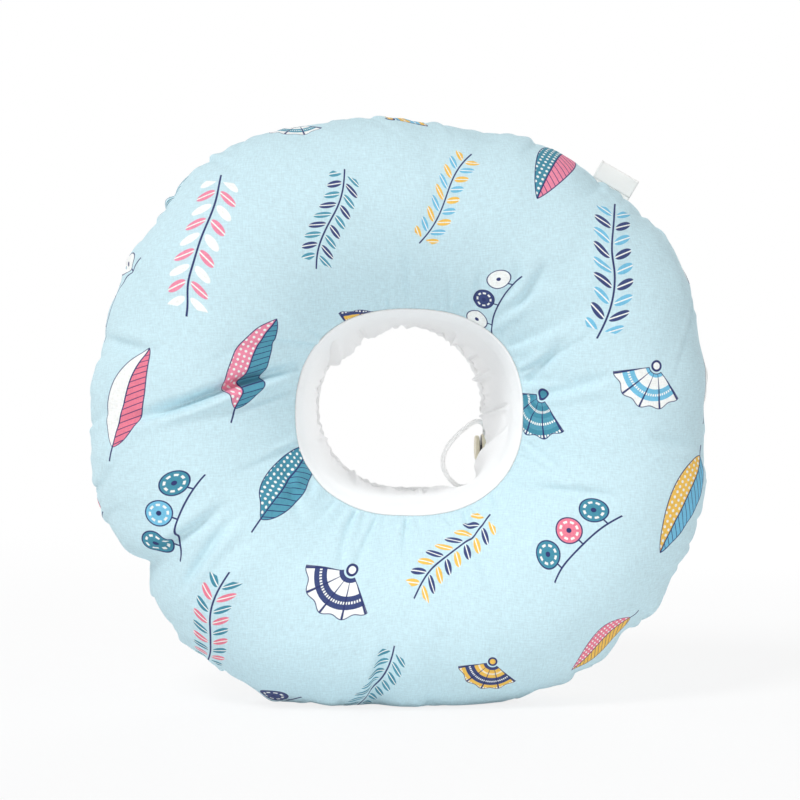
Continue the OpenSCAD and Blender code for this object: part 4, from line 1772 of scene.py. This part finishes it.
@dataclass
class Drawcord:
    """The elastic drawcord: two strands in the hem and the free loop beyond the lock.

    Attributes:
        diameter: the cord's diameter.
        aside: how far the two strands lie before and behind the hem's middle.
        top, bottom: where the front strand begins and where the rear strand ends.
        lock: the cord lock's middle.
        tail_steps: the free loop's points from the lock's middle, in millimetres.
        sides: corners of the cord's circle.
    """

    diameter: float = 0.003
    aside: float = 0.00165
    top: float = 0.154
    bottom: float = 0.12925
    lock: Place = (MOUTH, HEM_Y, 0.144)
    tail_steps: tuple[tuple[float, float, float], ...] = (
        (0, -1.65, 10), (0, -1.65, 11), (-0.6, -2.9, 13.8), (-3, -5, 16.2), (-6.6, -7.2, 16.6),
        (-10.6, -9, 14.6), (-14.8, -10, 11.4), (-19, -10.6, 7.6), (-23, -11, 3), (-26, -11.2, -2.4),
        (-27.2, -11.2, -8), (-26, -10.6, -13.6), (-22.8, -9, -18.8), (-18.6, -6.6, -22.6),
        (-14, -3.6, -24.2), (-9.6, -0.6, -23.6), (-5.4, 1.2, -21.6), (-2, 1.6, -18.8),
        (0, 1.65, -15.75), (0, 1.65, -14.75),
    )
    sides: int = 14

    def tail(self) -> Array:
        """Returns the free loop's line."""
        return np.array(self.lock) + rounded(np.array(self.tail_steps) * MM, 6)

    def strands(self) -> Array:
        """Draws the line in the hem.

        It runs down the front strand, round the corner, back along the base, three quarters round
        and down the rear strand.

        Returns:
            The line's points.
        """
        core, front, rear = MOUTH - MOUTH_CORNER, HEM_Y - self.aside, HEM_Y + self.aside
        down = np.linspace(self.top, AXIS - core, 14)
        start = np.stack([0 * down + MOUTH, 0 * down + front, down], -1)
        t = np.radians(-np.linspace(0, 90, 16)[1:])
        bend = np.stack([core + MOUTH_CORNER * np.cos(t), 0 * t + front,
                         AXIS - core + MOUTH_CORNER * np.sin(t)], -1)
        back = np.linspace(core, 0, 20)[1:]
        base = np.stack([back, 0 * back + front, 0 * back + AXIS - MOUTH], -1)
        s = np.linspace(0, 1, 150)[1:]
        t = np.radians(-90 - 270 * s)
        y = mixed(front, rear, eased(s))
        ring = np.stack([MOUTH * np.cos(t), y, AXIS + MOUTH * np.sin(t)], -1)
        down = np.linspace(AXIS, self.bottom, 20)[1:]
        end = np.stack([0 * down + MOUTH, 0 * down + rear, down], -1)
        return np.vstack([start, bend, base, ring, end])

    def build(self) -> None:
        for name, node, line in (("drawcord_strands", "drawcord", self.strands()),
                                 ("drawcord_free_loop", "drawcord_tail", self.tail())):
            tube = tube_grid(line, self.diameter / 2, self.sides)
            cord = grid_piece(name, *tube, (False, True))
            dressed(cord, "collar", ELASTIC, node)


@dataclass
class CordLock:
    """The round cord lock: its moulded body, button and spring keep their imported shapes.

    Attributes:
        finishes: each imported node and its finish.
    """

    finishes: tuple[tuple[str, Finish], ...] = (
        ("lock_body", PLASTIC), ("lock_button", PLASTIC), ("lock_spring", STEEL))

    def build(self) -> None:
        """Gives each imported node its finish."""
        for node, finish in self.finishes:
            piece = bpy.data.objects[node]
            for slot in piece.material_slots:
                slot.material = finish.material()
            LOG.info("%s: packed shape, finish %s", node, finish.name)


@dataclass
class RimLabel:
    """The bare folded label sewn into the rim's seam; lengths are in metres.

    Attributes:
        width: the tape's width.
        out: how far the label stands out of the rim.
        tape: the tape's thickness.
        sewn: how far the sewn edge reaches into the seam.
        clear: the sewn edge's distance from the bend.
        joint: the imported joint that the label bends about.
        columns: the grid's points across the tape.
        rows: the grid's points along the tape.
    """

    width: float = 0.025
    out: float = 0.011
    tape: float = 0.0004
    sewn: float = 0.0034
    clear: float = 0.00014
    joint: str = "label_flap"
    columns: int = 40
    rows: int = 44

    def placed(self, w: Array, far: Array, deep: Array) -> Array:
        """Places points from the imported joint, whose axis runs along the rim.

        Args:
            w: distances along the rim.
            far: distances out of the rim.
            deep: distances to the rear.

        Returns:
            The points.
        """
        joint = next(joint for joint in frame["joints"] if joint["name"] == self.joint)
        rim, rear = np.array(joint["axis"], dtype=float), np.array([0.0, 1.0, 0.0])
        ways = (rim, np.cross(rear, rim), rear)
        parts = (part[..., None] * way for part, way in zip((w, far, deep), ways))
        return sum(parts, np.array(joint["pos_m"]))

    def build(self) -> None:
        """Folds the tape: out 11 mm, over a small round and back, with a slight wave across.

        The round is half an ellipse 0.7 mm high over the middle 6 % of the tape's length.
        """
        bend, round_share = 0.0007, 0.06
        w, s = np.meshgrid(np.linspace(-0.5, 0.5, self.columns) * self.width,
                           np.linspace(-1, 1, self.rows), indexing="ij")
        flat = (1 - np.clip(np.abs(s), round_share, 1)) / (1 - round_share)
        cap = np.sqrt(np.clip(1 - (np.abs(s) / round_share) ** 2, 0, 1)) * bend
        out = flat * (self.out - self.tape / 2 - bend) + cap
        far, across = out / self.out, w / self.width
        wave = far**2 * (0.0006 * np.sin(across * 5.0 + 0.6) + 0.0012 * across)
        grid = self.placed(w, out, np.clip(s / round_share, -1, 1) * self.tape + wave)
        outward = np.sign(s + 1e-6)[..., None] * [0.0, 1.0, 0.0]
        uv = np.stack([w, s * self.out], -1)
        piece = grid_piece("rim_label_tape", grid, uv, outward, (False, False))
        thickened(piece, self.tape * 0.9, 0)
        dressed(piece, "rim_label", TAPE, "label")
        self.sewn_edge()

    def sewn_edge(self) -> Any:
        """Makes the tape's edge that the rim's seam holds, flat from the seam to the bend.

        Returns:
            The edge, which stays on the collar when the label bends.
        """
        w, far = np.meshgrid(np.linspace(-0.5, 0.5, self.columns) * self.width,
                             -np.linspace(self.sewn, self.clear, 8), indexing="ij")
        grid, uv = self.placed(w, far, 0 * w), np.stack([w, far], -1)
        front = (0.0, -1.0, 0.0)
        edge = grid_piece("rim_label_sewn_edge", grid, uv, front, (False, False))
        thickened(edge, self.tape * 0.8, 0)
        dressed(edge, "collar", TAPE)
        return edge


# ---------------------------------------------------------------- studio


@dataclass
class Studio:
    """Camera, pale floor, even white world, four soft lamps and a low spot.

    Attributes:
        eye, aim, view: the camera's place, what it looks at, and its angle of view in degrees.
        lamps: name, place, size in metres and power in watts of each soft lamp.
        low_lamp: the spot's name, place, aim, cone in degrees and power in watts.
    """

    eye: Place = (-0.0694, -1.254, 0.2115)
    aim: Place = (-0.0047, 0.0, 0.1764)
    view: float = 21.0
    lamps: tuple[tuple[str, Place, float, float], ...] = (
        ("key_lamp", (-1.3, -1.7, 2.5), 0.9, 50.5),
        ("side_lamp", (1.5, -0.9, 0.6), 1.0, 3.0),
        ("back_lamp", (0.6, 1.5, 0.4), 1.2, 16.0),
        ("rear_side_lamp", (-1.5, 1.1, 0.6), 1.0, 6.5),
    )
    low_lamp: tuple[str, Place, Place, float, float] = (
        "front_lamp", (0.06, -1.4, 0.14), (0, 0, -0.02), 38.0, 25.0)

    def build(self) -> None:
        """Sets up the camera, the stage and the lamps."""
        self.camera()
        self.floor()
        self.world()
        for lamp in self.lamps:
            self.lamp(*lamp)
        self.spot(*self.low_lamp)
        bpy.context.scene.view_settings.view_transform = "Standard"

    def aimed(self, thing: Any, place: Place, aim: Place) -> Any:
        """Puts a camera or a lamp in its place.

        Args:
            thing: the camera or lamp.
            place: where it stands.
            aim: what it looks at.

        Returns:
            The same thing.
        """
        thing.location = place
        thing.rotation_euler = (Vector(aim) - Vector(place)).to_track_quat("-Z", "Y").to_euler()
        bpy.context.scene.collection.objects.link(thing)
        return thing

    def camera(self) -> None:
        """Makes the camera."""
        lens = bpy.data.cameras.new("camera")
        lens.sensor_fit, lens.angle = "HORIZONTAL", math.radians(self.view)
        lens.clip_start = 0.02
        camera = bpy.data.objects.new("camera", lens)
        bpy.context.scene.camera = self.aimed(camera, self.eye, self.aim)

    def lamp(self, name: str, place: Place, size: float, power: float) -> None:
        """Makes a soft square lamp that looks at the ring.

        Args:
            name: the lamp's name.
            place: where it stands.
            size: its side in metres.
            power: its power in watts.
        """
        light = bpy.data.lights.new(name, "AREA")
        light.size, light.energy = size, power
        self.aimed(bpy.data.objects.new(name, light), place, (0, 0, 0.16))

    def spot(self, name: str, place: Place, aim: Place, cone: float, power: float) -> None:
        """Makes a low lamp whose cone fades softly towards the ring's top.

        Args:
            name: the lamp's name.
            place: where it stands.
            aim: what it looks at.
            cone: the cone's angle in degrees.
            power: its power in watts.
        """
        light = bpy.data.lights.new(name, "SPOT")
        light.spot_size, light.spot_blend = math.radians(cone), 1.0
        light.shadow_soft_size, light.energy = 0.25, power
        self.aimed(bpy.data.objects.new(name, light), place, aim)

    def floor(self) -> None:
        """Makes a pale floor that runs out to plain white.

        The share of white is 0.82, and rises to 1 where sqrt(0.7 x^2 + y^2) goes from 0.45 to
        1.3 metres.
        """
        side = np.linspace(-5, 5, 41)
        x, y = np.meshgrid(side, side, indexing="ij")
        grid, up = np.stack([x, y, 0 * x], -1), (0.0, 0.0, 1.0)
        piece = grid_piece("studio_floor", grid, np.stack([x, y], -1), up, (False, False))
        piece.data.materials.append(bpy.data.materials.new("studio_floor"))
        graph = Graph(piece.data.materials[0])
        graph.paint(Base_Color=(0.88, 0.88, 0.885, 1), Roughness=0.9, Specular_IOR_Level=0.0)
        u, v, _ = graph.split(graph.place())
        far = (u * u * 0.7 + v * v).root().step(0.45, 1.3)
        glow = graph.node("ShaderNodeEmission", {}, {"Color": (1, 1, 1, 1), "Strength": 1.0})
        graph.cover((far * 0.18 + 0.82) * graph.in_sight(), glow)

    def world(self) -> None:
        """Makes an even white world, plain white to the eye and softer as light."""
        world = bpy.data.worlds.new("studio")
        bpy.context.scene.world = world
        graph = Graph(world)
        graph.paint(Color=(0.98, 0.99, 1, 1), Strength=0.4)
        plain = graph.node("ShaderNodeBackground", {}, {"Color": (1, 1, 1, 1), "Strength": 1.0})
        graph.cover(graph.in_sight(), plain)


def main() -> None:
    """Builds the studio, then each sub-assembly."""
    logging.basicConfig(level=logging.INFO, format="%(name)s: %(message)s")
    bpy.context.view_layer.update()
    Studio().build()
    Drawcord().build()
    ring = StuffedRing()
    ring.build()
    NeckSleeve(ring).build()
    CordLock().build()
    RimLabel().build()


if __name__ == "__main__":
    main()
